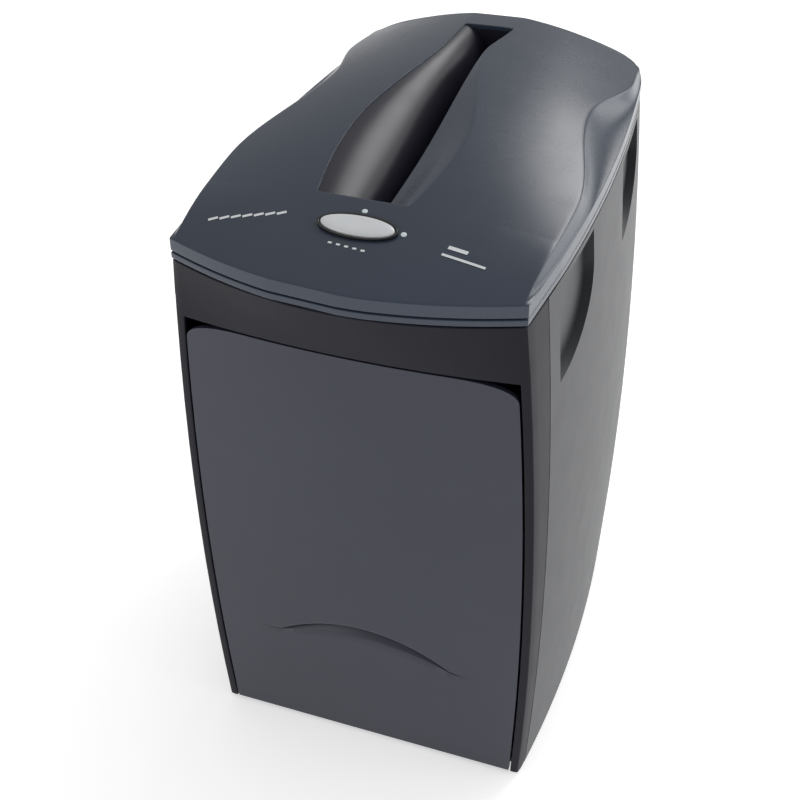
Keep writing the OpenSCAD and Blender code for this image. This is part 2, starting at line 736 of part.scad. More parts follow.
disc_count = floor((slot_len - 2 - disc_t) / disc_pitch - 0.5) + 1;
disc_start = slot_y0 + (slot_len - (disc_count - 0.5) * disc_pitch - disc_t) / 2;
spacer_r = shaft_gap - disc_r - 2.5;
hook_count = 3;
hook_step = 13;
module cutter_discs(x, shift) {
    for (i = [0 : disc_count - 1]) translate([x, disc_start + shift + i * disc_pitch + disc_t,
            cutter_z]) rotate([90, 0, 0]) linear_extrude(disc_t) difference() {
        circle(r = disc_r, $fn = 72);
        for (k = [0 : hook_count - 1]) rotate(360 * k / hook_count + i * hook_step) polygon([
            [disc_r - 2.2, 0], [disc_r + 1, -0.6], [disc_r + 1, 3.4]]);
        circle(r = hex_d / 2, $fn = 6);
    }
}
module cutter_discs_left() color("#7d8287") cutter_discs(-shaft_x, 0);
module cutter_discs_right() color("#7d8287") cutter_discs(shaft_x, disc_pitch / 2);

module spacers(x, shift) {
    for (i = [0 : disc_count - 2]) translate([x, disc_start + shift + (i + 1) * disc_pitch,
            cutter_z]) rotate([90, 0, 0]) linear_extrude(disc_pitch - disc_t) difference() {
        circle(r = spacer_r, $fn = 48);
        circle(r = hex_d / 2, $fn = 6);
    }
}
module spacers_left() color("#35383c") spacers(-shaft_x, 0);
module spacers_right() color("#35383c") spacers(shaft_x, disc_pitch / 2);

// Each comb's fingers reach between the discs of its own shaft
comb_bar = 3.6;
comb_half = 4;
module stripper_comb(side, shift) {
    outer = shaft_x + disc_r + 6 + comb_bar;
    finger = disc_pitch - disc_t - 1.2;
    block([side > 0 ? outer - comb_bar : -outer, slot_y0, cutter_z - comb_half],
          [side > 0 ? outer : -outer + comb_bar, slot_y1, cutter_z + comb_half]);
    for (i = [0 : disc_count - 2]) {
        y = disc_start + shift + (i + 1) * disc_pitch - (disc_pitch - disc_t) / 2;
        inner = shaft_x + spacer_r + 0.6;
        block([side > 0 ? inner : -outer + 1, y - finger / 2, cutter_z - comb_half],
              [side > 0 ? outer - 1 : -inner, y + finger / 2, cutter_z + comb_half]);
    }
}
module stripper_comb_left() color("#15171a") stripper_comb(-1, 0);
module stripper_comb_right() color("#15171a") stripper_comb(1, disc_pitch / 2);

/* Gears: involute teeth with a little backlash */
pressure = 20;
function inv(a) = tan(a) * 180 / PI - a;
function tooth_half(m, z, r) = let(rb = m * z / 2 * cos(pressure))
    (90 - 180 * backlash / (PI * m)) / z + inv(pressure) - inv(acos(min(1, rb / max(r, rb))));
backlash = 0.12;
function tooth(m, z, a) = let(rp = m * z / 2, ri = rp - 1.1 * m, ro = rp + 0.8 * m,
        rs = [ri, max(ri + 0.2 * m, rp * cos(pressure)), rp, ro])
    concat([for (r = rs) let(t = a - tooth_half(m, z, r)) [r * cos(t), r * sin(t)]],
           [for (i = [3 : -1 : 0]) let(t = a + tooth_half(m, z, rs[i])) [rs[i] * cos(t), rs[i] * sin(t)]]);
module gear(x, y, m, z, phase, bore) {
    translate([x, y, cutter_z]) rotate([90, 0, 0]) linear_extrude(gear_w) difference() {
        polygon([for (i = [0 : z - 1]) each tooth(m, z, phase + 360 * i / z)]);
        circle(r = bore, $fn = 40);
    }
}
pair_m = shaft_gap / pair_teeth;
module pair_gear_left() color("#83878c")
    gear(-shaft_x, plane_a, pair_m, pair_teeth, 0, journal_d / 2);
module pair_gear_right() color("#83878c")
    gear(shaft_x, plane_a, pair_m, pair_teeth, 180 + 180 / pair_teeth, journal_d / 2);
module shaft_drive_gear() color("#8e8f86")
    gear(-shaft_x, plane_b, slow_m, big_teeth, 180, journal_d / 2);

module middle_gear() color("#d9d5c6") {
    gear(middle_x, plane_b, slow_m, small_teeth, 180 / small_teeth, middle_pin_r + run_fit);
    gear(middle_x, plane_c, fast_m, wheel_teeth, 180, middle_pin_r + run_fit);
    hub_r = slow_m * small_teeth / 2 - 1.1 * slow_m - 0.4;
    difference() {
        rod_y(middle_x, cutter_z, plane_c - slim, plane_b - gear_w + slim, hub_r);
        rod_y(middle_x, cutter_z, plane_c - 1, plane_b - gear_w + 1, middle_pin_r + run_fit);
    }
}
module middle_gear_pin() color("#a9aeb3") {
    rod_y(middle_x, cutter_z, plane_c - gear_w - 1.5, slot_y0, middle_pin_r);
    rod_y(middle_x, cutter_z, plane_b + 0.3, front_plate_y, middle_pin_r + 2.5);
    rod_y(middle_x, cutter_z, plane_c - gear_w - 1.5, plane_c - gear_w - 0.3, middle_pin_r + 2);
}

cover_t = 2;
cover_top = plate_top + 12;
cover_y0 = plane_c - gear_w - 6;
cover_y1 = plane_b + 0.4;
cover_gap = 1.25;
module gear_cover() color("#202327") {
    x0 = motor_x - fast_m * pinion_teeth / 2 - cover_t - 4;
    x1 = slow_m * (big_teeth / 2 + 0.8) - shaft_x + cover_gap + cover_t;
    difference() {
        block([x0, cover_y0, shelf_top], [x1, cover_y1, cover_top]);
        block([x0 + cover_t, cover_y0 + cover_t, shelf_top - 1],
              [x1 - cover_t, cover_y1 + 1, cover_top - cover_t]);
    }
}

/* Motor */
can_t = 2;
rotor_r = motor_r * 0.6;
motor_y1 = slot_y0 + motor_len;
module motor_case() color("#6e747a") {
    difference() {
        rod_y(motor_x, cutter_z, slot_y0, motor_y1, motor_r);
        rod_y(motor_x, cutter_z, slot_y0 + 3, motor_y1 + 1, motor_r - can_t);
        rod_y(motor_x, cutter_z, slot_y0 - 1, slot_y0 + 4, rotor_shaft_r + run_fit);
        for (p = motor_screw_places) rod_y(p[0], p[1], slot_y0 - 1, slot_y0 + 4, screw_r - 0.1);
    }
}
module motor_end_cap() color("#4c5055") {
    difference() {
        union() {
            rod_y(motor_x, cutter_z, motor_y1, motor_y1 + 4, motor_r);
            rod_y(motor_x, cutter_z, motor_y1 + 4 - slim, motor_y1 + 7, 8);
        }
        rod_y(motor_x, cutter_z, motor_y1 - 1, motor_y1 + 8, rotor_shaft_r + run_fit);
        for (a = [30 : 60 : 330]) rod_y(motor_x + 18 * cos(a), cutter_z + 18 * sin(a),
            motor_y1 - 1, motor_y1 + 5, 5);
    }
}
module motor_stator() color("#a5623a") {
    difference() {
        rod_y(motor_x, cutter_z, slot_y0 + 14, motor_y1 - 14, motor_r - can_t);
        rod_y(motor_x, cutter_z, slot_y0 + 13, motor_y1 - 13, rotor_r + 0.6);
    }
}
module motor_rotor() color("#9b9fa3") {
    rod_y(motor_x, cutter_z, plane_c - gear_w - 1, motor_y1 + 22, rotor_shaft_r);
    rod_y(motor_x, cutter_z, slot_y0 + 16, motor_y1 - 16, rotor_r);
}
module motor_pinion() color("#b9a15a")
    gear(motor_x, plane_c, fast_m, pinion_teeth, 180 / pinion_teeth, rotor_shaft_r);

fan_blades = 9;
module motor_fan() color("#e2e2dc") {
    fan_y = motor_y1 + 10;
    difference() {
        union() {
            rod_y(motor_x, cutter_z, fan_y, fan_y + 10, 7);
            rod_y(motor_x, cutter_z, fan_y, fan_y + 1.6, motor_r - 4);
            for (k = [0 : fan_blades - 1]) translate([motor_x, fan_y + 10, cutter_z])
                rotate([0, 360 * k / fan_blades, 0])
                    translate([6, -9, -0.8]) cube([motor_r - 11, 9, 1.6]);
        }
        rod_y(motor_x, cutter_z, fan_y - 1, fan_y + 11, rotor_shaft_r);
    }
}
module motor_screws() color("#8c9094") {
    for (p = motor_screw_places) {
        rod_y(p[0], p[1], front_plate_y - 2, front_plate_y, 3.6);
        rod_y(p[0], p[1], front_plate_y - slim, slot_y0 + 3, screw_r - 0.1);
    }
}

cap_r = 16;
cap_l = 70;
cap_x = rod_x + 12 + cap_r;
cap_z = shelf_top + cap_r + 2;
cap_y = slot_y0 + 24;
module run_capacitor() color("#c3c6c4") {
    rod_y(cap_x, cap_z, cap_y, cap_y + cap_l, cap_r);
    rod_y(cap_x, cap_z, cap_y + cap_l - slim, cap_y + cap_l + 3, cap_r - 3);
}
module capacitor_clip() color("#7c8186") {
    y = cap_y + cap_l / 2;
    difference() {
        union() {
            rod_y(cap_x, cap_z, y - 6, y + 6, cap_r + 1.4);
            block([cap_x - cap_r - 6, y - 6, shelf_top], [cap_x + cap_r + 3, y + 6, shelf_top + 2.4]);
        }
        rod_y(cap_x, cap_z, y - 7, y + 7, cap_r);
    }
}

/* Paper sensor: a sprung lever that a sheet pushes down in the slot */
lever_x = slot_x + guide_t + 8;
lever_z = slot_z + 17;
lever_gap = 3;
lever_half = 6;
bracket_half = 9;
bracket_t = 2;
module sensor_bracket() color("#2a2d31") {
    x0 = slot_x + guide_t;
    difference() {
        union() {
            block([x0, slot_y - bracket_half, lever_z - 12], [x0 + bracket_t, slot_y + bracket_half,
                lever_z + 8]);
            block([x0, slot_y - bracket_half, lever_z - 12], [x0 + 28, slot_y + bracket_half,
                lever_z - 12 + bracket_t]);
            for (s = [-1, 1]) block(
                [x0, slot_y + s * (bracket_half - bracket_t / 2) - bracket_t / 2, lever_z - 12],
                [lever_x + 4, slot_y + s * (bracket_half - bracket_t / 2) + bracket_t / 2,
                 lever_z + 4]);
        }
        rod_y(lever_x, lever_z, slot_y - 20, slot_y + 20, pin_r + run_fit);
        block([x0 - 1, slot_y - lever_gap, lever_z - 14], [x0 + 3, slot_y + lever_gap, lever_z + 6]);
    }
}
module sensor_lever() color("#e6e6e2") {
    tip = [-slot_x / 2, lever_z - 4];
    rod_y(lever_x, lever_z, slot_y - lever_half, slot_y + lever_half, 3);
    rod_y(lever_x, lever_z, slot_y - bracket_half, slot_y + bracket_half, pin_r);
    along_y(slot_y + 1.2) linear_extrude(2.4) polygon([
        [lever_x, lever_z + 2], [tip[0], tip[1] + 1.6], [tip[0], tip[1]], [lever_x, lever_z - 2]]);
}
module sensor_switch() color("#17181a") {
    z = lever_z - 12 + bracket_t;
    block([lever_x + 5, slot_y - 6, z], [lever_x + 18, slot_y + 6, z + 12]);
}

/* Bin interlock */
lock_x = 60;
lock_z = shelf_top + 6;
plunger_r = 2.4;
lock_y = front_y + 30;
module interlock_switch() color("#17181a") {
    difference() {
        block([lock_x - 9, lock_y, shelf_top], [lock_x + 9, lock_y + 18, shelf_top + 12]);
        rod_y(lock_x, lock_z, lock_y - 1, lock_y + 14, plunger_r + run_fit);
    }
}
module interlock_plunger() color("#d5402c") {
    rod_y(lock_x, lock_z, face_y(lock_x, lock_z) + front_t + 0.6, lock_y + 10, plunger_r);
}

/* Power inlet and back fasteners */
module power_inlet() color("#0f1012") {
    at_back(inlet_x, inlet_z) difference() {
        union() {
            translate([-inlet_flange, -inlet_h / 2 - 1, -1.2])
                cube([2 * inlet_flange, inlet_h + 2, 1.2]);
            translate([-inlet_w / 2 + 0.1, -inlet_h / 2 + 0.1, -slim])
                cube([inlet_w - 0.2, inlet_h - 0.2, 22]);
        }
        translate([-11.8, -7.6, -2]) cube([23.6, 15.2, 16]);
        for (s = [-1, 1]) translate([20 * s, 0, -3]) cylinder(r = screw_r - 0.1, h = 6, $fn = 24);
    }
    at_back(inlet_x, inlet_z) for (x = [-7, 0, 7])
        translate([x - 0.8, x == 0 ? 0 : -3, 7]) cube([1.6, 4, 8]);
}
module inlet_screws() color("#8c9094") {
    at_back(inlet_x, inlet_z) for (s = [-1, 1]) translate([20 * s, 0, -2]) {
        cylinder(r = 3.2, h = 0.8, $fn = 24);
        cylinder(r = screw_r - 0.1, h = 8, $fn = 24);
    }
}
module back_screws() color("#8c9094") {
    for (p = back_screw_places) at_back(p[0], p[1]) {
        translate([0, 0, -1]) cylinder(r = 3.8, h = 1, $fn = 24);
        cylinder(r = screw_r - 0.1, h = 2 * wall + 1, $fn = 24);
    }
}

hood_shell();
throat_guide();
front_frame();
side_panel_left();
side_panel_right();
back_panel();
base_tray();
head_shelf();
rubber_feet();
control_bezel();
control_rocker();
indicator_lenses();
control_board();
rocker_switch();
bin_front();
bin_bucket();
bin_runner_left();
bin_runner_right();
bin_screws();
cutter_plate_front();
cutter_plate_rear();
tie_rods();
tie_rod_nuts();
shaft_bushes();
cutter_shaft_left();
cutter_shaft_right();
cutter_discs_left();
cutter_discs_right();
spacers_left();
spacers_right();
stripper_comb_left();
stripper_comb_right();
pair_gear_left();
pair_gear_right();
shaft_drive_gear();
middle_gear();
middle_gear_pin();
gear_cover();
motor_case();
motor_end_cap();
motor_stator();
motor_rotor();
motor_pinion();
motor_fan();
motor_screws();
run_capacitor();
capacitor_clip();
sensor_lever();
sensor_bracket();
sensor_switch();
interlock_switch();
interlock_plunger();
power_inlet();
inlet_screws();
back_screws();
base_screws();
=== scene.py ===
"""A deskside paper shredder: shells, throat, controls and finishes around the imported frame."""

import math

import bmesh
import bpy
from mathutils import Matrix, Vector


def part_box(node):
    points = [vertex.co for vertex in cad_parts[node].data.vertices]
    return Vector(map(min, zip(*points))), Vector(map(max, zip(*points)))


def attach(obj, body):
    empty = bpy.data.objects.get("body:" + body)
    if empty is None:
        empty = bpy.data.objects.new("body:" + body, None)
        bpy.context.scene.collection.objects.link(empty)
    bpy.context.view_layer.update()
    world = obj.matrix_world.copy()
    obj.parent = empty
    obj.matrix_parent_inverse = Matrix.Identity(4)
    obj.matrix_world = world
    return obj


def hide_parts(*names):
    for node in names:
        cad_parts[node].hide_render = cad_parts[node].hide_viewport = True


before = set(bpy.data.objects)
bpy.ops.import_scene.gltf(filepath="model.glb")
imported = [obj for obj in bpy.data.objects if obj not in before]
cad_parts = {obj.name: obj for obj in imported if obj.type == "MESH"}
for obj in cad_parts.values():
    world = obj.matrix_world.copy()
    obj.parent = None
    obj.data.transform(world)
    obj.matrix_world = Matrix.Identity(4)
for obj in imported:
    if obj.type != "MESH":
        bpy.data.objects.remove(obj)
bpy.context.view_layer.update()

MM = 0.001
WELD = 0.02 * MM

# ---------------------------------------------------------------- sizes of the case
hood_low, hood_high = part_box("hood_shell")
door_low, door_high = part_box("bin_front")
frame_low, frame_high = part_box("front_frame")
guide_low, guide_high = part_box("throat_guide")

SEAM_Z = hood_low[2]
CROWN_Z = hood_high[2]
BACK_Y = hood_high[1]
FRONT_BOW = 27 * MM
BIN_BOW = 9 * MM
SIDE_BOW = 9 * MM
FRONT_Y = hood_low[1] + FRONT_BOW
HALF_FRONT = 118 * MM
HALF_BACK = 111 * MM
BELLY = 8 * MM
FLARE = 0.034
FRONT_LEAN = 22 * MM
BACK_LEAN = 18 * MM
BACK_R = 20 * MM
BAND_H = 15 * MM
BAND_TOP = SEAM_Z + BAND_H
BIN_TOP = door_high[2]
STRIP_Y = frame_high[1]
SKIRT_Z = frame_low[2]
PEAK_Y = 90 * MM
PINCH_Y = 60 * MM
PINCH = 21 * MM
PINCH_START = FRONT_Y + 96 * MM
PINCH_END = BACK_Y - 38 * MM


def mix(a, b, t):
    return a + (b - a) * t


def clamp(t, low=0.0, high=1.0):
    return max(low, min(high, t))


def ease(t):
    t = clamp(t)
    return t * t * (3 - 2 * t)


def swell(distance, length):
    """A smooth bump: 1 at no distance, 0 from one length away."""
    return 0.5 + 0.5 * math.cos(math.pi * clamp(abs(distance) / length))


def low(z):
    """How far down from the seam a height is: 0 at the seam, 1 at the floor."""
    return 1 - z / SEAM_Z


def belly(z):
    """How far the sides swell out at a height."""
    return 4 * BELLY * low(z) * (1 - low(z))


def half_front(z):
    return HALF_FRONT * (1 + FLARE * low(z)) + belly(z)


def half_back(z):
    return HALF_BACK * (1 + FLARE * low(z)) + belly(z)


def corner_y(z):
    return FRONT_Y + FRONT_LEAN * low(z)


def rear_y(z):
    return BACK_Y - BACK_LEAN * low(z)


def bow(z):
    if z > BIN_TOP:
        return mix(BIN_BOW, FRONT_BOW, (z - BIN_TOP) / (SEAM_Z - BIN_TOP))
    return BIN_BOW * z / BIN_TOP


def face_y(x, z):
    return corner_y(z) - bow(z) * (1 - (x / half_front(z)) ** 2)


def side_x(y, z):
    """Half width of the case at a depth and a height, with the round back corner."""
    back = rear_y(z) - BACK_R
    s = clamp((y - corner_y(z)) / (back - corner_y(z)))
    x = mix(half_front(z), half_back(z), s) + SIDE_BOW * (1 - (2 * s - 1) ** 2)
    if y > back:
        x += math.sqrt(max(0.0, BACK_R**2 - (y - back) ** 2)) - BACK_R
    return x


# ---------------------------------------------------------------- sizes of the hood
GUIDE_EDGE = 2.4 * MM
SLOT_Y = (guide_low[1] + guide_high[1]) / 2
LIP_Y = guide_low[1] + GUIDE_EDGE
TROUGH_BACK = guide_high[1] - GUIDE_EDGE
SLOT_HALF = 4 * MM
SLOT_RISE = 5.5 * MM
SLOT_Z = guide_low[2] + SLOT_RISE
SLOT_LEN = 230 * MM
SLOT_Y0 = SLOT_Y - SLOT_LEN / 2
SLOT_Y1 = SLOT_Y + SLOT_LEN / 2
# The throat's left edge: how far out it is, how far it swells, where, and how gently
TROUGH_X = 26 * MM
TROUGH_SWELL = 22 * MM
TROUGH_WIDEST = -25 * MM
TROUGH_AHEAD = 190 * MM
TROUGH_BEHIND = 160 * MM
# The throat's right edge and its flare at the back
RIM_X = 5 * MM
RIM_FLARE = 7 * MM
RIM_FLARE_Y = 108 * MM
# The leaf-shaped facet: its width and depth, where it is widest, and where its edge turns crisp
LEAF_WIDTH = 28 * MM
LEAF_DEPTH = 13 * MM
LEAF_WIDEST = -31 * MM
LEAF_AHEAD = 166 * MM
LEAF_BEHIND = 150 * MM
CRISP_START = -80 * MM
CRISP_LENGTH = 110 * MM
CROWN_FALL = 3 * MM
CROWN_FLAT = 0.0002 / MM
CROWN_ROUND = 0.0022 / MM
CREST_IN = 3.5 * MM


def ridge_z(y):
    """Height of the hood along its middle."""
    if y < PEAK_Y:
        return CROWN_Z - (CROWN_Z - BAND_TOP) * ((PEAK_Y - y) / (PEAK_Y - hood_low[1])) ** 2
    return CROWN_Z - CROWN_FALL * ((y - PEAK_Y) / (BACK_Y - PEAK_Y)) ** 2


def edge_x(y):
    """Half width of the hood at the seam, before its back corners are rounded."""
    return side_x(clamp(y, FRONT_Y, BACK_Y - BACK_R), SEAM_Z)


def crest_x(y):
    """Half width of the crown: it sweeps in along each flank and out again at the back."""
    x = edge_x(y) - CREST_IN
    if y < PINCH_START or y > PINCH_END:
        return x
    if y < PINCH_Y:
        return x - PINCH * math.sin(math.pi / 2 * (y - PINCH_START) / (PINCH_Y - PINCH_START)) ** 2
    return x - PINCH * math.cos(math.pi / 2 * (y - PINCH_Y) / (PINCH_END - PINCH_Y)) ** 2


def crown_z(x, y):
    """Height of the crown, level all along its bowed front edge."""
    front = FRONT_Y - FRONT_BOW * (1 - (x / HALF_FRONT) ** 2)
    fade = clamp((LIP_Y - y) / (LIP_Y - front)) if y < LIP_Y else 0.0
    y_even = y - (front - hood_low[1]) * fade
    k = mix(CROWN_FLAT, CROWN_ROUND, clamp((y - FRONT_Y) / (BACK_Y - FRONT_Y)))
    return ridge_z(y_even) - k * x * x * (1 - fade)


def hood_z(x, y):
    """Height of the hood's top: crown inside the crest line, a hollow flank outside it."""
    crest = crest_x(y)
    if abs(x) <= crest:
        return crown_z(x, y)
    edge = max(edge_x(y), crest + MM)
    s = clamp((abs(x) - crest) / (edge - crest))
    return mix(max(crown_z(crest, y), BAND_TOP), BAND_TOP, 1 - (1 - s) ** 2)


def trough_left(y):
    """Left edge of the throat: widest near the front and narrow at the back."""
    length = TROUGH_AHEAD if y < TROUGH_WIDEST else TROUGH_BEHIND
    return -TROUGH_X - TROUGH_SWELL * swell(y - TROUGH_WIDEST, length)


def rim_right(y):
    """Right edge of the throat: straight along the slot, flared at the back."""
    return RIM_X + RIM_FLARE * ease((y - RIM_FLARE_Y) / (TROUGH_BACK - RIM_FLARE_Y))


def leaf_swell(y):
    return swell(y - LEAF_WIDEST, LEAF_AHEAD if y < LEAF_WIDEST else LEAF_BEHIND)


def leaf_right(y):
    """Right edge of the leaf-shaped facet beside the slot."""
    return rim_right(y) + LEAF_WIDTH * leaf_swell(y)


def leaf_z(x, y):
    s = clamp((x - rim_right(y)) / max(leaf_right(y) - rim_right(y), MM))
    crisp = ease((y - CRISP_START) / CRISP_LENGTH)
    return hood_z(x, y) - LEAF_DEPTH * leaf_swell(y) * mix(1 - ease(s), 1 - s, crisp)


# ---------------------------------------------------------------- mesh tools
def steps(a, b, n, end=False):
    """n even stations from a towards b, with b itself only when asked."""
    return [mix(a, b, i / n) for i in range(n + (1 if end else 0))]


def sheet(bm, columns, rows, place, keep=None):
    """Adds a grid, put in place by a function of column and row.

    Its faces look along column x row. A function given as keep says which cells stay."""
    made = bmesh.ops.create_grid(bm, x_segments=len(columns) - 1, y_segments=len(rows) - 1, size=1)
    grid = {}
    for v in made["verts"]:
        i = round((v.co.x + 1) / 2 * (len(columns) - 1))
        j = round((v.co.y + 1) / 2 * (len(rows) - 1))
        grid[i, j] = v
    gone = []
    if keep:
        index = {v: k for k, v in grid.items()}
        for f in {f for v in made["verts"] for f in v.link_faces}:
            i = min(index[v][0] for v in f.verts)
            j = min(index[v][1] for v in f.verts)
            if not keep(columns[i], columns[i + 1], rows[j], rows[j + 1]):
                gone.append(f)
    for (i, j), v in grid.items():
        v.co = place(columns[i], rows[j])
    bmesh.ops.delete(bm, geom=gone, context="FACES")


def open_edges(bm, test):
    """The open edges with both ends inside a region."""
    return [e for e in bm.edges if e.is_boundary and all(test(v.co) for v in e.verts)]


def pull(bm, edges, move):
    """Extrudes edges, moves the new points by a function and gives the new edges back."""
    made = bmesh.ops.extrude_edge_only(bm, edges=edges)["geom"]
    for v in [g for g in made if isinstance(g, bmesh.types.BMVert)]:
        v.co = move(v.co)
    return [g for g in made if isinstance(g, bmesh.types.BMEdge)]


def shade(mesh, angle=35):
    """Smooth faces with sharp edges past an angle."""
    bm = bmesh.new()
    bm.from_mesh(mesh)
    for f in bm.faces:
        f.smooth = True
    for e in bm.edges:
        e.smooth = len(e.link_faces) == 2 and e.calc_face_angle(0) < math.radians(angle)
    bm.to_mesh(mesh)
    bm.free()


def piece(bm, name, body, finish, replaces=(), wall=0.0, edge=0.0, angle=35):
    """Turns a bmesh into a finished piece that rides on a body."""
    mesh = bpy.data.meshes.new(name)
    bm.to_mesh(mesh)
    bm.free()
    obj = bpy.data.objects.new(name, mesh)
    bpy.context.scene.collection.objects.link(obj)
    shade(mesh, angle)
    if wall:
        thick = obj.modifiers.new("wall", "SOLIDIFY")
        thick.thickness = wall
        thick.offset = -1
        thick.use_even_offset = False
    if edge:
        soft = obj.modifiers.new("edge", "BEVEL")
        soft.width = edge
        soft.segments = 3
        soft.limit_method = "ANGLE"
        soft.angle_limit = math.radians(52)
        soft.use_clamp_overlap = True
    obj.data.materials.append(finish)
    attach(obj, body)
    if replaces:
        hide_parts(*replaces)
    return obj


def bevelled_copy(node, body, finish, width=0.5, segments=2, angle=40):
    """A copy of a frame node with its edges broken, to stand for the plain one."""
    bm = bmesh.new()
    bm.from_mesh(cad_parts[node].data)
    bmesh.ops.remove_doubles(bm, verts=bm.verts, dist=WELD / 4)
    bmesh.ops.dissolve_limit(bm, angle_limit=math.radians(1), verts=bm.verts, edges=bm.edges)
    sharp = [e for e in bm.edges if len(e.link_faces) == 2 and e.calc_face_angle(0) > math.radians(angle)]
    bmesh.ops.bevel(bm, geom=sharp, offset=width * MM, segments=segments, profile=0.5,
                    affect="EDGES", clamp_overlap=True, material=-1)
    return piece(bm, node + "_edged", body, finish, replaces=(node,), angle=30)


# ---------------------------------------------------------------- finishes
class Wire:
    """A socket's value, with arithmetic that adds Math nodes."""

    def __init__(self, finish, socket):
        self.finish = finish
        self.socket = socket

    def _maths(self, operation, a, b):
        return self.finish.node("ShaderNodeMath", {"operation": operation}, {0: a, 1: b})

    def __add__(self, other):
        return self._maths("ADD", self, other)

    __radd__ = __add__

    def __mul__(self, other):
        return self._maths("MULTIPLY", self, other)

    __rmul__ = __mul__


class Finish:
    """A material made of one shader and the nodes that feed it."""

    def __init__(self, name, **shader):
        self.material = bpy.data.materials.new(name)
        self.material.use_nodes = True
        self.tree = self.material.node_tree
        self.shader = next(n for n in self.tree.nodes if n.type == "BSDF_PRINCIPLED")
        for key, value in shader.items():
            self.shader.inputs[key.replace("_", " ")].default_value = value

    def node(self, kind, settings=None, values=None, out=0):
        made = self.tree.nodes.new(kind)
        for key, value in (settings or {}).items():
            if key == "stops":
                ramp = made.color_ramp
                while len(ramp.elements) < len(value):
                    ramp.elements.new(0.5)
                for element, (place, colour) in zip(ramp.elements, value):
                    element.position = place
                    element.color = colour
            else:
                setattr(made, key, value)
        for key, value in (values or {}).items():
            self.feed(made.inputs[key], value)
        return Wire(self, made.outputs[out])

    def feed(self, socket, value):
        if isinstance(value, Wire):
            self.tree.links.new(value.socket, socket)
        else:
            socket.default_value = value

    def set(self, **inputs):
        for key, value in inputs.items():
            self.feed(self.shader.inputs[key.replace("_", " ")], value)
        return self.material

    def place(self):
        return self.node("ShaderNodeTexCoord", out=3)

    def noise(self, scale, detail=2.0, rough=0.5, where=None):
        return self.node("ShaderNodeTexNoise", None, {
            "Vector": where or self.place(), "Scale": scale, "Detail": detail, "Roughness": rough})

    def blend(self, factor, a, b):
        return self.node("ShaderNodeMix", {"data_type": "RGBA"}, {0: factor, 6: a, 7: b}, out=2)

    def fit(self, value, a, b, c, d):
        return self.node("ShaderNodeMapRange", None, {0: value, 1: a, 2: b, 3: c, 4: d})

    def bump(self, height, strength, distance):
        return self.node("ShaderNodeBump", None, {
            "Height": height, "Strength": strength, "Distance": distance})


def rgba(colour):
    return (colour[0], colour[1], colour[2], 1.0)


def tone(colour, k):
    return rgba([c * k for c in colour])


def moulded(name, colour, rough=0.42, grain=0.25, cell=2600, drift=0.12, specular=0.5):
    """Injection-moulded plastic: fine spark grain, faint flow drift, handled patches."""
    f = Finish(name, Specular_IOR_Level=specular)
    drift_map = f.noise(7.0, 3.0, 0.55)
    grain_map = f.noise(cell, 2.0, 0.6)
    cells = f.node("ShaderNodeTexVoronoi", {"feature": "F1"}, {"Vector": f.place(), "Scale": cell * 0.6})
    height = grain_map * 0.6 + cells * 0.4
    smear = f.noise(38.0, 4.0, 0.62)
    colour_map = f.blend(drift_map, tone(colour, 1 - drift), tone(colour, 1 + drift))
    speck = f.fit(grain_map, 0.35, 0.7, 0.94, 1.06)
    colour_map = f.node("ShaderNodeVectorMath", {"operation": "SCALE"}, {0: colour_map, "Scale": speck})
    rough_map = f.fit(smear, 0.3, 0.7, rough - 0.015, rough + 0.02)
    return f.set(Base_Color=colour_map, Roughness=rough_map, Normal=f.bump(height, grain, 0.00008))


def glossy(name, colour, rough=0.16, wave=0.05):
    """Polished moulding or paint with slight waviness and uneven gloss."""
    f = Finish(name, Coat_Weight=0.25, Coat_Roughness=0.08)
    ripple = f.noise(120.0, 2.0, 0.5)
    smear = f.noise(45.0, 4.0, 0.6)
    colour_map = f.blend(ripple, tone(colour, 0.95), tone(colour, 1.05))
    return f.set(Base_Color=colour_map, Roughness=f.fit(smear, 0.3, 0.7, rough * 0.85, rough * 1.3),
                 Normal=f.bump(ripple, wave, 0.0002))


def metal(name, colour, rough=0.3, stretch=(1.0, 1.0, 1.0), scratch=0.12, oil=0.0):
    """Steel, brass or zinc plate: brushing along one way, blotches and a little oil."""
    f = Finish(name, Metallic=1.0)
    where = f.node("ShaderNodeMapping", None, {"Vector": f.place(), "Scale": stretch})
    brush = f.noise(700.0, 3.0, 0.6, where)
    blotch = f.noise(60.0, 3.0, 0.6)
    colour_map = f.blend(blotch, tone(colour, 0.82 - oil), tone(colour, 1.1))
    rough_map = f.fit(brush * 0.6 + blotch * 0.4, 0.3, 0.7, rough - 0.07, rough + 0.1)
    return f.set(Base_Color=colour_map, Roughness=rough_map, Normal=f.bump(brush, scratch, 0.00006))


def rubber(name, colour):
    f = Finish(name)
    dust = f.noise(180.0, 5.0, 0.7)
    pits = f.noise(1500.0, 2.0, 0.5)
    colour_map = f.blend(f.fit(dust, 0.5, 0.75, 0.0, 0.5), rgba(colour), tone(colour, 3.0))
    return f.set(Base_Color=colour_map, Roughness=f.fit(dust, 0.3, 0.7, 0.75, 0.9),
                 Normal=f.bump(pits, 0.3, 0.0001))


SLATE = (0.030, 0.042, 0.066)
GRAPHITE = (0.022, 0.025, 0.042)
CHARCOAL = (0.008, 0.008, 0.014)
SIDE_GREY = (0.028, 0.030, 0.034)
VIOLET_BLACK = (0.014, 0.014, 0.024)
NYLON = (0.016, 0.016, 0.018)

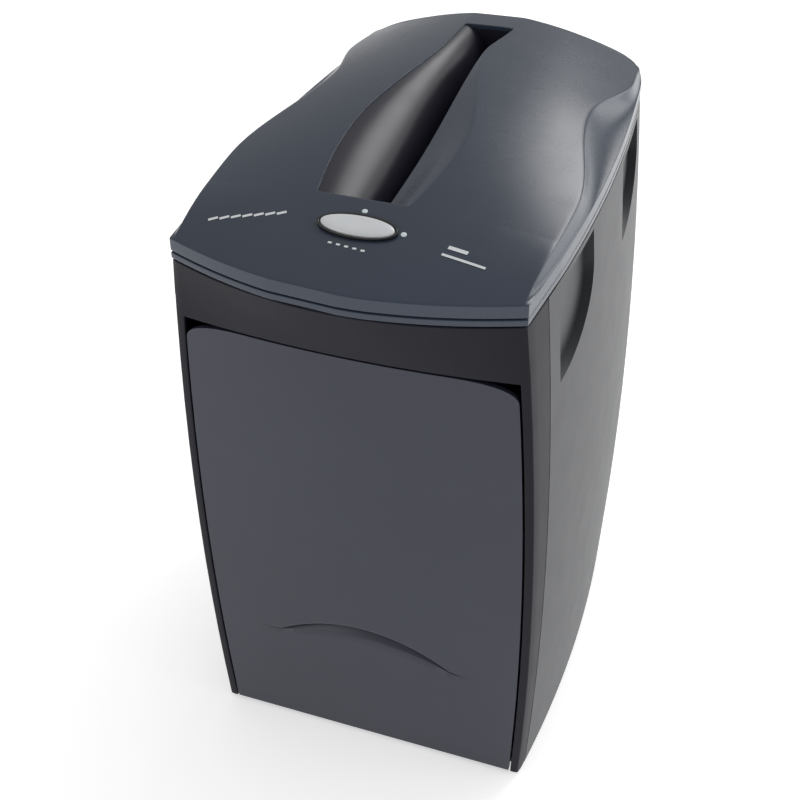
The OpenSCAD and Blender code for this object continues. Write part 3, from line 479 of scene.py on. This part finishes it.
finishes = {
    "hood_plastic": moulded("hood_plastic", SLATE, rough=0.27, grain=0.07),
    "throat_plastic": moulded("throat_plastic", VIOLET_BLACK, rough=0.36, grain=0.08, specular=0.42),
    "frame_plastic": moulded("frame_plastic", CHARCOAL, rough=0.46, grain=0.16, specular=0.16),
    "side_plastic": moulded("side_plastic", SIDE_GREY, rough=0.42, grain=0.18, specular=0.34),
    "bin_plastic": moulded("bin_plastic", GRAPHITE, rough=0.44, grain=0.28),
    "bucket_plastic": moulded("bucket_plastic", CHARCOAL, rough=0.5, grain=0.1),
    "inner_plastic": moulded("inner_plastic", NYLON, rough=0.48, grain=0.2),
    "bezel_plastic": glossy("bezel_plastic", (0.008, 0.008, 0.010)),
    "rocker_plastic": glossy("rocker_plastic", (0.68, 0.70, 0.72), rough=0.24),
    "lens_plastic": glossy("lens_plastic", (0.72, 0.80, 0.84), rough=0.12),
    "gear_plastic": moulded("gear_plastic", (0.62, 0.60, 0.52), rough=0.4, grain=0.1, drift=0.05),
    "plunger_plastic": moulded("plunger_plastic", (0.45, 0.04, 0.02), rough=0.35, grain=0.1),
    "capacitor_plastic": moulded("capacitor_plastic", (0.42, 0.44, 0.43), rough=0.45, grain=0.1),
    "foot_rubber": rubber("foot_rubber", (0.012, 0.012, 0.013)),
    "plate_steel": metal("plate_steel", (0.50, 0.52, 0.53), 0.34, (1.0, 1.0, 14.0)),
    "bright_steel": metal("bright_steel", (0.55, 0.56, 0.58), 0.22, (14.0, 1.0, 14.0)),
    "cutter_steel": metal("cutter_steel", (0.30, 0.31, 0.33), 0.3, (4.0, 1.0, 4.0), oil=0.3),
    "screw_steel": metal("screw_steel", (0.46, 0.46, 0.47), 0.3),
    "motor_steel": glossy("motor_steel", (0.10, 0.105, 0.11), rough=0.4, wave=0.15),
    "winding_copper": metal("winding_copper", (0.45, 0.18, 0.07), 0.35, (1.0, 40.0, 1.0)),
    "bush_bronze": metal("bush_bronze", (0.44, 0.29, 0.13), 0.4),
    "pinion_brass": metal("pinion_brass", (0.56, 0.44, 0.20), 0.28),
}


def circuit_board():
    """Green solder mask over fine copper tracks."""
    f = Finish("board_green", Coat_Weight=0.3)
    tracks = f.node("ShaderNodeTexBrick", {"offset": 0.4}, {
        "Vector": f.place(), "Scale": 160.0, "Mortar Size": 0.03,
        "Color1": (0, 0, 0, 1), "Color2": (0, 0, 0, 1), "Mortar": (1, 1, 1, 1)}, out=1)
    colour_map = f.blend(tracks, rgba((0.008, 0.075, 0.03)), rgba((0.03, 0.16, 0.06)))
    return f.set(Base_Color=colour_map, Roughness=f.fit(tracks, 0, 1, 0.35, 0.25),
                 Normal=f.bump(tracks, 0.3, 0.0001))


def ink():
    """White pad-printed ink with slightly uneven cover."""
    f = Finish("print_ink")
    cover = f.noise(900.0, 3.0, 0.6)
    return f.set(Base_Color=f.blend(cover, rgba((0.62, 0.64, 0.66)), rgba((0.82, 0.84, 0.85))),
                 Roughness=f.fit(cover, 0.3, 0.7, 0.45, 0.6))


finishes["board_green"] = circuit_board()
print_ink = ink()


# ---------------------------------------------------------------- hood


def hood_edge(x):
    """The hood's bowed front edge, seen from above."""
    return FRONT_Y - FRONT_BOW * (1 - (x / HALF_FRONT) ** 2)


def corner_pull(x, y):
    """Brings a point inside the round back corners of the hood."""
    half = edge_x(y)
    if y > BACK_Y - BACK_R:
        half += math.sqrt(max(0.0, BACK_R**2 - (y - BACK_Y + BACK_R) ** 2)) - BACK_R
    return max(-half, min(half, x))


def hood_columns(y):
    """Places across the hood at one depth, from its left edge to its right."""
    crest = crest_x(y)
    edge = edge_x(y)
    left = trough_left(clamp(y, LIP_Y, TROUGH_BACK))
    leaf = leaf_right(clamp(y, LIP_Y, TROUGH_BACK))
    flank = [mix(-edge, -crest, t) for t in (0, 0.04, 0.3, 0.6, 0.9, 1)]
    crown = [mix(-crest, left, t) for t in (0.02, 0.35, 0.7, 0.93, 0.985, 1)]
    rim = rim_right(clamp(y, LIP_Y, TROUGH_BACK))
    facet = [mix(rim, leaf, t) for t in (0, 0.05, 0.35, 0.65, 0.96, 1)]
    right = [mix(leaf, crest, t) for t in (0.04, 0.35, 0.7, 0.98, 1)]
    outer = [mix(crest, edge, t) for t in (0.1, 0.4, 0.7, 0.96, 1)]
    return flank + crown + facet + right + outer


COLUMNS = list(range(28))
LEFT_RIM = 11
RIGHT_RIM = 12
RIM_STEP = 1.2 * MM
ROW_START = 8 * MM
ROW_Y = (
    [LIP_Y - RIM_STEP, LIP_Y, LIP_Y + RIM_STEP]
    + steps(LIP_Y + ROW_START, TROUGH_BACK - ROW_START, 20, end=True)
    + [TROUGH_BACK - RIM_STEP, TROUGH_BACK, TROUGH_BACK + RIM_STEP]
    + [mix(TROUGH_BACK + RIM_STEP, BACK_Y, t) for t in (0.3, 0.55, 0.8, 0.95, 1)]
)
FRONT_ROWS = [0, 0.04, 0.2, 0.4, 0.6, 0.8, 0.93]
HOOD_ROWS = [("front", t) for t in FRONT_ROWS] + [("across", y) for y in ROW_Y]


def hood_point(column, row):
    kind, t = row
    y = ROW_Y[0] if kind == "front" else t
    x = hood_columns(y)[column]
    if kind == "front":
        x = mix(HALF_FRONT * x / edge_x(ROW_Y[0]), x, t)
        y = mix(hood_edge(x), ROW_Y[0], t)
    else:
        x = corner_pull(x, y)
    if rim_right(y) <= x <= leaf_right(y) and LIP_Y + 0.5 * MM < y <= TROUGH_BACK:
        return Vector((x, y, leaf_z(x, y)))
    return Vector((x, y, hood_z(x, y)))


def outside_trough(c0, c1, r0, r1):
    y0 = r0[1] if r0[0] == "across" else -1
    y1 = r1[1] if r1[0] == "across" else -1
    across = r0[0] == "across" and r1[0] == "across"
    return not (across and c0 >= LEFT_RIM and c1 <= RIGHT_RIM and y0 >= LIP_Y and y1 <= TROUGH_BACK)


HOLE_REACH = 60 * MM
HOLE_DROPS = (0.7 * MM, 2.6 * MM)
EDGE_DROP = 2.2 * MM
GROOVE = 0.989
# Rings down the hood's band with its thin groove: height above the seam in mm, and size against
# the ring above
BAND_RINGS = [(6.6, 1), (6.0, 1), (5.7, GROOVE), (4.9, 1), (4.6, 1 / GROOVE), (4.0, 1),
              (1.5, 1), (0, 1)]
SKIRT_X = 0.98
SKIRT_Y = 0.985


def build_hood():
    bm = bmesh.new()
    sheet(bm, COLUMNS, HOOD_ROWS, hood_point, keep=outside_trough)
    bmesh.ops.remove_doubles(bm, verts=bm.verts, dist=WELD)

    def outside(co):
        inside_y = LIP_Y - MM < co.y < TROUGH_BACK + MM
        return not (inside_y and -HOLE_REACH < co.x < rim_right(co.y) + MM)

    edge = open_edges(bm, outside)
    for drop in (0.35 * EDGE_DROP, EDGE_DROP):
        edge = pull(bm, edge, lambda co: Vector((co.x, co.y, co.z - drop)))
    for height, share in BAND_RINGS:
        z = SEAM_Z + height * MM
        edge = pull(bm, edge, lambda co: Vector((co.x * share, co.y * share, z)))
    pull(bm, edge, lambda co: Vector((co.x * SKIRT_X, co.y * SKIRT_Y, SEAM_Z)))

    def inside(co):
        return not outside(co) and co.z > SEAM_Z

    hole = open_edges(bm, inside)
    for drop in HOLE_DROPS:
        hole = pull(bm, hole, lambda co: Vector((co.x, co.y, co.z - drop)))
    bmesh.ops.recalc_face_normals(bm, faces=bm.faces)
    cover = piece(bm, "hood_cover", "case", finishes["hood_plastic"],
                  replaces=("hood_shell",), angle=48)
    fine = cover.modifiers.new("fine", "SUBSURF")
    fine.levels = 2
    fine.render_levels = 2
    return cover


hood_cover = build_hood()


# ---------------------------------------------------------------- throat
ROLL_TURNS = 10
LINER_COLUMNS = list(range(ROLL_TURNS + 7))
SLOT_LEFT = ROLL_TURNS + 2
LINER_DROP = 1.2 * MM
LINER_WALL = 1.8 * MM
SLOT_DEPTH = 10 * MM
SLOT_ROLL = 1.5 * MM
SLOT_STEP = 2 * MM
WALL_LEAN = 0.4 * MM
LINER_ROWS = (
    [("wall", LIP_Y), ("floor", LIP_Y), ("floor", LIP_Y + SLOT_STEP), ("floor", SLOT_Y0)]
    + [("slot", y) for y in steps(SLOT_Y0, SLOT_Y1, 24, end=True)]
    + [("floor", SLOT_Y1), ("floor", TROUGH_BACK - SLOT_STEP)]
    + [("floor", TROUGH_BACK), ("wall", TROUGH_BACK)]
)


def liner_point(column, row):
    """The rolled guide on the left, the slot's two lips and the upright wall on the right."""
    kind, y = row
    left = trough_left(y)
    top = hood_z(left, y) - LINER_DROP
    rim = rim_right(y)
    right_top = (leaf_z(rim, y) if y > LIP_Y + MM else hood_z(rim, y)) - LINER_DROP
    deep = SLOT_Z - SLOT_DEPTH if kind == "slot" else SLOT_Z
    if column <= ROLL_TURNS:
        turn = math.pi / 2 * column / ROLL_TURNS
        x = mix(left, -SLOT_HALF, math.sin(turn))
        z = mix(SLOT_Z, top, math.cos(turn))
    else:
        x, z = [
            (-SLOT_HALF, SLOT_Z - SLOT_ROLL if kind == "slot" else SLOT_Z),
            (-SLOT_HALF, deep),
            (SLOT_HALF, deep),
            (SLOT_HALF, SLOT_Z + SLOT_STEP if kind == "slot" else SLOT_Z),
            (SLOT_HALF + WALL_LEAN, mix(SLOT_Z, right_top, 0.5)),
            (rim, right_top),
        ][column - ROLL_TURNS - 1]
    if kind == "wall":
        z = hood_z(x, y) - LINER_DROP
    return Vector((x, y, z))


def slot_cell(c0, c1, r0, r1):
    return not (c0 == SLOT_LEFT and r0[0] == "slot" and r1[0] == "slot")


def build_liner():
    bm = bmesh.new()
    sheet(bm, LINER_COLUMNS, LINER_ROWS, liner_point, keep=slot_cell)
    bmesh.ops.remove_doubles(bm, verts=bm.verts, dist=WELD)
    bmesh.ops.dissolve_degenerate(bm, edges=bm.edges, dist=WELD / 2)
    return piece(bm, "throat_liner", "case", finishes["throat_plastic"],
                 replaces=("throat_guide",), wall=LINER_WALL, angle=40)


throat_liner = build_liner()

# ---------------------------------------------------------------- case front, sides and door
SEAM_GAP = 0.4 * MM
CASE_TOP = SEAM_Z - SEAM_GAP
SPLIT_GAP = 1.5 * MM
SPLIT_Z = BIN_TOP + SPLIT_GAP
LEG_GAP = 6 * MM
CORNER_R = 3.5 * MM
CORNER_IN = 0.6 * MM
CORNER_BACK = 0.5 * MM
DOOR_INSET = 8 * MM
FRAME_GAP = 1.4 * MM
FRAME_WALL = 3 * MM
DOOR_WALL = 3.6 * MM
SIDE_WALL = 2.6 * MM


def door_half(z):
    return half_front(z) - DOOR_INSET


def wrap_stations():
    """Places around the front as (side, place) pairs, from the left seam to the right seam."""
    side = [("side", t) for t in (0, 0.1, 0.5, 0.8, 1)] + [("corner", 0), ("edge", 0), ("strip", 0)]
    front = [("front", t) for t in steps(-1.0, 1.0, 28)[1:]]
    left = [("-", k) for k in side]
    right = [("+", k) for k in reversed(side)]
    return left + front + right


def wrap_point(station, z):
    kind, where = station
    half = half_front(z)
    strip = door_half(z) + FRAME_GAP
    if kind == "front":
        x = where * strip
        return Vector((x, face_y(x, z), z))
    k = -1 if kind == "-" else 1
    if where[0] in ("edge", "strip"):
        x = half - CORNER_R if where[0] == "edge" else strip
        return Vector((k * x, face_y(x, z), z))
    if where[0] == "corner":
        return Vector((k * (half - CORNER_IN), corner_y(z) + CORNER_BACK, z))
    y = mix(STRIP_Y, corner_y(z) + LEG_GAP, where[1])
    return Vector((k * side_x(y, z), y, z))


def on_frame(c0, c1, r0, r1):
    brow = r0 >= SPLIT_Z - WELD
    return brow or (c0[0] != "front" and c1[0] != "front")


def build_frame():
    bm = bmesh.new()
    rows = steps(SKIRT_Z, SPLIT_Z, 10) + [SPLIT_Z, SPLIT_Z + SPLIT_GAP]
    rows += steps(SPLIT_Z + LEG_GAP, CASE_TOP, 8, end=True)
    sheet(bm, wrap_stations(), rows, wrap_point, keep=on_frame)
    return piece(bm, "front_bezel", "case", finishes["frame_plastic"],
                 replaces=("front_frame",), wall=FRAME_WALL, edge=0.9 * MM)


front_bezel = build_frame()

DOOR_BOTTOM = door_low[2]
CORNER_SPAN = 46 * MM
CORNER_DROP = 15 * MM
GRIP_HALF = 66 * MM
GRIP_TOP = 126 * MM
GRIP_RISE = 24 * MM
GRIP_OPEN = 10 * MM
GRIP_DEPTH = 13 * MM
GRIP_LEAST = 1.4 * MM
LIP_ROLL = 2.4


def door_top(x):
    """The door's top edge: level, with long soft corners."""
    s = clamp((abs(x) - door_half(BIN_TOP) + CORNER_SPAN) / CORNER_SPAN)
    return BIN_TOP - CORNER_DROP * (1 - (1 - s**2.4) ** (1 / 2.4))


def arch_z(x):
    return GRIP_TOP - GRIP_RISE * min(1.0, (x / GRIP_HALF) ** 2)


def arch_share(x):
    return max(0.0, 1 - (x / GRIP_HALF) ** 2)


# Rows of the grip: kind, place in mm or share, depth share, and place where the grip has faded out
GRIP_ROWS = [("open", 1.0, 0.0, 1.0), ("open", 0.85, 0.05, 0.8), ("open", 0.45, 0.42, 0.5),
             ("lip", 2.2, 1.0, 0.1), ("lip", 0.6, 0.8, 0.4), ("lip", 0.0, 0.06, 0.8),
             ("lip", 0.9, 0.0, 1.4), ("lip", LIP_ROLL, 0.0, LIP_ROLL)]
DOOR_ROWS = (
    [("low", t) for t in (0, 0.03, 0.2, 0.4, 0.6, 0.8, 0.93)]
    + GRIP_ROWS
    + [("high", t) for t in (0.05, 0.12, 0.22, 0.34, 0.46, 0.58, 0.7, 0.82, 0.92, 0.98, 1)]
)
DOOR_COLUMNS = [-1, -0.997, -0.99, -0.975, -0.95, -0.91, -0.86, -0.79, -0.72, -0.64] + [
    t for t in steps(-0.57, 0.57, 44, end=True)] + [
    0.64, 0.72, 0.79, 0.86, 0.91, 0.95, 0.975, 0.99, 0.997, 1]


def door_point(column, row):
    x = column * door_half(BIN_TOP)
    arch = arch_z(x)
    share = arch_share(x)
    inward = 0.0
    foot = arch - max(GRIP_OPEN * share, GRIP_LEAST)
    if row[0] == "low":
        z = mix(DOOR_BOTTOM, foot, row[1])
    elif row[0] == "open":
        z = mix(arch, foot, row[1])
        inward = GRIP_DEPTH * row[2] * math.sqrt(share)
    elif row[0] == "lip":
        z = arch + mix(row[3], row[1], clamp(share * 8)) * MM
        inward = GRIP_DEPTH * row[2] * math.sqrt(share)
    else:
        z = mix(arch + LIP_ROLL * MM, door_top(x), row[1])
    x = column * door_half(z)
    return Vector((x, face_y(x, z) + inward, z))


def build_door():
    bm = bmesh.new()
    sheet(bm, DOOR_COLUMNS, DOOR_ROWS, door_point)
    return piece(bm, "bin_door", "bin", finishes["bin_plastic"],
                 replaces=("bin_front",), wall=DOOR_WALL, edge=1.1 * MM, angle=40)


bin_door = build_door()

HOLD_TOP = SEAM_Z - 5 * MM
HOLD_DEPTH = 6.5 * MM
# Hand holds under the seam: where each starts along Y, its length and its height
FRONT_HOLD = (STRIP_Y + 20 * MM, 78 * MM, 70 * MM)
REAR_HOLD = (BACK_Y - 112 * MM, 76 * MM, 62 * MM)
HOLD_SQUARE = 0.35
WALL_STEP = 0.5 * MM
BACK_SEAM_X = 80 * MM + SEAM_GAP


def hold_foot(y):
    """Lower edge of the hand holds, carried on between and beyond them."""
    front_end = FRONT_HOLD[0] + FRONT_HOLD[1]
    rear_end = REAR_HOLD[0] + REAR_HOLD[1]
    for start, length, height in (FRONT_HOLD, REAR_HOLD):
        if start <= y <= start + length:
            s = (y - start) / length
            return HOLD_TOP - height * mix(HOLD_SQUARE, 1, math.sqrt(max(0.0, 1 - s * s)))
    if y < FRONT_HOLD[0]:
        return HOLD_TOP - FRONT_HOLD[2]
    if y > rear_end:
        return HOLD_TOP - HOLD_SQUARE * REAR_HOLD[2]
    s = (y - front_end) / (REAR_HOLD[0] - front_end)
    return mix(HOLD_TOP - HOLD_SQUARE * FRONT_HOLD[2], HOLD_TOP - REAR_HOLD[2], s)


def in_hold(y):
    return any(a + 0.1 * MM < y < a + n - 0.1 * MM for a, n, _ in (FRONT_HOLD, REAR_HOLD))


def side_rows():
    rows = [("low", t) for t in steps(0, 1, 12)]
    rows += [("foot", -WALL_STEP), ("foot", WALL_STEP)]
    rows += [("hold", t) for t in steps(0.1, 0.95, 6, end=True)]
    return rows + [("top", -WALL_STEP), ("top", WALL_STEP), ("top", 3 * MM), ("seam", 0)]


def side_columns():
    columns = [STRIP_Y + SEAM_GAP, STRIP_Y + 6 * MM, STRIP_Y + 14 * MM]
    for start, length, _ in (FRONT_HOLD, REAR_HOLD):
        end = start + length
        columns += [start - WALL_STEP, start + WALL_STEP]
        columns += steps(start + 3 * MM, end - 4 * MM, 16, end=True)
        columns += [end - WALL_STEP, end + WALL_STEP]
        if start == FRONT_HOLD[0]:
            columns += steps(end + 8 * MM, REAR_HOLD[0] - 8 * MM, 7, end=True)
    rest = [("y", y) for y in columns]
    return rest + [("turn", t) for t in steps(0, 1, 8, end=True)] + [("back", 0), ("back", 1)]


def side_point(k):
    def place(column, row):
        kind, y = column
        along = y if kind == "y" else BACK_Y - BACK_R
        foot = hold_foot(along)
        z = {
            "low": lambda t: mix(SKIRT_Z, foot - 3 * MM, t),
            "foot": lambda t: foot + t,
            "hold": lambda t: mix(foot, HOLD_TOP, t),
            "top": lambda t: min(HOLD_TOP + t, CASE_TOP),
            "seam": lambda t: CASE_TOP,
        }[row[0]](row[1])
        if kind == "y":
            x = side_x(y, z)
            sunk = row[0] == "hold" or (row[0] == "foot" and row[1] > 0) or (
                row[0] == "top" and row[1] < 0)
            if in_hold(y) and sunk:
                x -= HOLD_DEPTH
            return Vector((k * x, y, z))
        half = half_back(z)
        back = rear_y(z)
        if kind == "turn":
            turn = math.pi / 2 * y
            return Vector((k * (half - BACK_R + BACK_R * math.cos(turn)),
                           back - BACK_R + BACK_R * math.sin(turn), z))
        return Vector((k * mix(half - BACK_R - 4 * MM, BACK_SEAM_X, y), back, z))
    return place


def build_side(name, k):
    bm = bmesh.new()
    columns = side_columns()
    rows = side_rows()
    sheet(bm, columns if k > 0 else columns[::-1], rows, side_point(k))
    return piece(bm, name, "case", finishes["side_plastic"],
                 replaces=(name.replace("shell", "panel"),), wall=SIDE_WALL, edge=0.8 * MM)


side_shell_left = build_side("side_shell_left", -1)
side_shell_right = build_side("side_shell_right", 1)

# ---------------------------------------------------------------- controls
CONTROL_Y = -127 * MM
CONTROL_TILT = math.atan(2 * (CROWN_Z - BAND_TOP) * (PEAK_Y - CONTROL_Y) / (PEAK_Y - hood_low[1]) ** 2)
CONTROL = Matrix.Translation((-2 * MM, CONTROL_Y, ridge_z(CONTROL_Y))) @ Matrix.Rotation(
    CONTROL_TILT, 4, "X")
ROCKER_W = 49 * MM
ROCKER_D = 18 * MM
OVAL_POINTS = 72
# Rings of the rocker's cap and of its dark surround: growth and height in mm
CAP_PROFILE = [(0, -2.4), (0, 1.4), (-0.25, 2.1), (-0.9, 2.6), (-2.2, 2.9), (-5, 3.1), (-9, 3.2)]
RING_PROFILE = [(0.7, -3), (0.7, 0.6), (0.85, 1.2), (1.2, 1.5),
                (1.7, 1.55), (2.2, 1.3), (2.5, 0.8), (2.5, -3)]


def oval_ring(growth, height):
    """A move that puts a point on the rocker's oval, grown and raised by amounts in mm."""
    def move(co):
        turn = math.atan2(co.y / ROCKER_D, co.x / ROCKER_W)
        return Vector(((ROCKER_W / 2 + growth * MM) * math.cos(turn),
                       (ROCKER_D / 2 + growth * MM) * math.sin(turn), height * MM))
    return move


def turned_oval(profile):
    """An oval shell from rings of (growth, height) in mm, and the open edges of its last ring."""
    bm = bmesh.new()
    bmesh.ops.create_circle(bm, segments=OVAL_POINTS, radius=1)
    first = oval_ring(*profile[0])
    for v in bm.verts:
        v.co = first(Vector((v.co.x * ROCKER_W, v.co.y * ROCKER_D, 0)))
    edges = list(bm.edges)
    for growth, height in profile[1:]:
        edges = pull(bm, edges, oval_ring(growth, height))
        edges = [e for e in edges if e.is_boundary]
    return bm, edges


def build_rocker():
    bm, edges = turned_oval(CAP_PROFILE)
    bmesh.ops.contextual_create(bm, geom=edges)
    bmesh.ops.recalc_face_normals(bm, faces=bm.faces)
    bmesh.ops.transform(bm, matrix=CONTROL, verts=bm.verts)
    return piece(bm, "rocker_cap", "rocker", finishes["rocker_plastic"],
                 replaces=("control_rocker",), angle=50)


def build_ring():
    bm, _ = turned_oval(RING_PROFILE)
    bmesh.ops.recalc_face_normals(bm, faces=bm.faces)
    bmesh.ops.reverse_faces(bm, faces=bm.faces)
    bmesh.ops.transform(bm, matrix=CONTROL, verts=bm.verts)
    return piece(bm, "rocker_ring", "case", finishes["bezel_plastic"], angle=50)


rocker_cap = build_rocker()
rocker_ring = build_ring()

# ---------------------------------------------------------------- printed marks
PRINT_RISE = 0.12 * MM


# Printed bars: where each starts, where it ends, and its width, in mm
ICON_BARS = [((-15 + 5.6 * k, -144 - 0.5 * k), (-12.4 + 5.6 * k, -144 - 0.5 * k), 1.6)
             for k in range(5)]
LEFT_BARS = [((-99 + 7 * k, -139.5 + 2.2 * k), (-93.6 + 7 * k, -136.3 + 2.2 * k), 2.2)
             for k in range(7)]
RIGHT_BARS = [((58, -128.5), (71, -130), 3), ((56, -135.5), (85, -139), 2)]
PRINT_WALL = 0.08 * MM


def bar(bm, start, end, width):
    """A printed bar laid on the hood between two places."""
    first = Vector(start) * MM
    along = Vector(end) * MM - first
    across = Vector((-along.y, along.x)).normalized() * width * MM / 2

    def place(c, r):
        p = first + along * c + across * r
        return Vector((p.x, p.y, hood_z(p.x, p.y) + PRINT_RISE))

    sheet(bm, steps(0, 1, 6, end=True), [-1, 0, 1], place)


def build_marks():
    bm = bmesh.new()
    for start, end, width in ICON_BARS + LEFT_BARS + RIGHT_BARS:
        bar(bm, start, end, width)
    return piece(bm, "printed_marks", "case", print_ink, wall=PRINT_WALL, angle=60)


printed_marks = build_marks()

# ---------------------------------------------------------------- finishes of the frame's own pieces
EDGED = {
    "back_panel": ("case", "side_plastic", 0.5),
    "base_tray": ("case", "frame_plastic", 0.4),
    "rubber_feet": ("case", "foot_rubber", 0.5),
    "bin_bucket": ("bin", "bucket_plastic", 0.6),
    "power_inlet": ("case", "bezel_plastic", 0.3),
    "back_screws": ("case", "screw_steel", 0.25),
    "indicator_lenses": ("case", "lens_plastic", 0.4),
}
for node, (body, slot, width) in EDGED.items():
    bevelled_copy(node, body, finishes[slot], width)

NODE_SLOTS = {
    "head_shelf": "inner_plastic", "control_bezel": "bezel_plastic", "control_board": "board_green",
    "rocker_switch": "inner_plastic", "bin_runner_left": "inner_plastic",
    "bin_runner_right": "inner_plastic", "bin_screws": "screw_steel",
    "cutter_plate_front": "plate_steel", "cutter_plate_rear": "plate_steel",
    "tie_rods": "bright_steel", "tie_rod_nuts": "screw_steel", "shaft_bushes": "bush_bronze",
    "cutter_shaft_left": "bright_steel", "cutter_shaft_right": "bright_steel",
    "cutter_discs_left": "cutter_steel", "cutter_discs_right": "cutter_steel",
    "spacers_left": "inner_plastic", "spacers_right": "inner_plastic",
    "stripper_comb_left": "inner_plastic", "stripper_comb_right": "inner_plastic",
    "pair_gear_left": "cutter_steel", "pair_gear_right": "cutter_steel",
    "shaft_drive_gear": "cutter_steel", "middle_gear": "gear_plastic",
    "middle_gear_pin": "bright_steel", "gear_cover": "inner_plastic", "motor_case": "motor_steel",
    "motor_end_cap": "motor_steel", "motor_stator": "winding_copper", "motor_rotor": "bright_steel",
    "motor_pinion": "pinion_brass", "motor_fan": "gear_plastic", "motor_screws": "screw_steel",
    "run_capacitor": "capacitor_plastic", "capacitor_clip": "plate_steel",
    "sensor_lever": "gear_plastic", "sensor_bracket": "inner_plastic",
    "sensor_switch": "inner_plastic", "interlock_switch": "inner_plastic",
    "interlock_plunger": "plunger_plastic", "inlet_screws": "screw_steel",
    "base_screws": "screw_steel",
}
for node, slot in NODE_SLOTS.items():
    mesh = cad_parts[node].data
    mesh.materials.clear()
    mesh.materials.append(finishes[slot])

# ---------------------------------------------------------------- floor, light and camera


def white_world():
    world = bpy.data.worlds.new("studio")
    bpy.context.scene.world = world
    world.use_nodes = True
    background = next(n for n in world.node_tree.nodes if n.type == "BACKGROUND")
    background.inputs["Color"].default_value = (1.0, 1.0, 1.0, 1.0)
    background.inputs["Strength"].default_value = 0.5


def pale_floor():
    """A wide, flat, pale floor."""
    f = Finish("studio_floor", Specular_IOR_Level=0.2)
    f.set(Base_Color=rgba((0.93, 0.93, 0.93)), Roughness=0.9,
          Emission_Color=rgba((1.0, 1.0, 1.0)), Emission_Strength=0.45)
    bm = bmesh.new()
    sheet(bm, [-30, 30], [-30, 30], lambda x, y: Vector((x, y, 0)))
    mesh = bpy.data.meshes.new("floor")
    bm.to_mesh(mesh)
    bm.free()
    floor = bpy.data.objects.new("floor", mesh)
    bpy.context.scene.collection.objects.link(floor)
    mesh.materials.append(f.material)


def softbox(name, place, aim, size, power):
    light = bpy.data.lights.new(name, "AREA")
    light.shape = "RECTANGLE"
    light.size, light.size_y = size
    light.energy = power
    obj = bpy.data.objects.new(name, light)
    obj.location = place
    obj.rotation_euler = (Vector(aim) - Vector(place)).to_track_quat("-Z", "Y").to_euler()
    bpy.context.scene.collection.objects.link(obj)


white_world()
pale_floor()
softbox("back_box", (0.75, 2.4, 2.35), (0.05, 0.05, 0.45), (1.7, 1.0), 34)
softbox("back_right_box", (2.2, 2.2, 1.0), (0.05, 0, 0.4), (1.6, 1.3), 16)
softbox("right_box", (2.2, 0.2, 0.9), (0, 0, 0.25), (1.2, 1.2), 10)
softbox("left_front_box", (-1.5, -1.9, 1.0), (0, 0, 0.25), (1.2, 1.0), 9)

bpy.context.scene.view_settings.view_transform = "Standard"

CAMERA_PLACE = Vector((0.30661, -0.87573, 0.92220))
CAMERA_AIM = Vector((-0.01923, -0.00961, 0.23943))
CAMERA_ROLL = math.radians(-0.587)

camera_data = bpy.data.cameras.new("camera")
camera_data.lens = 67.37
camera_data.sensor_width = 36
camera = bpy.data.objects.new("camera", camera_data)
aimed = (CAMERA_AIM - CAMERA_PLACE).to_track_quat("-Z", "Y").to_matrix().to_4x4()
camera.matrix_world = Matrix.Translation(CAMERA_PLACE) @ aimed @ Matrix.Rotation(CAMERA_ROLL, 4, "Z")
bpy.context.scene.collection.objects.link(camera)
bpy.context.scene.camera = camera

bpy.context.view_layer.update()
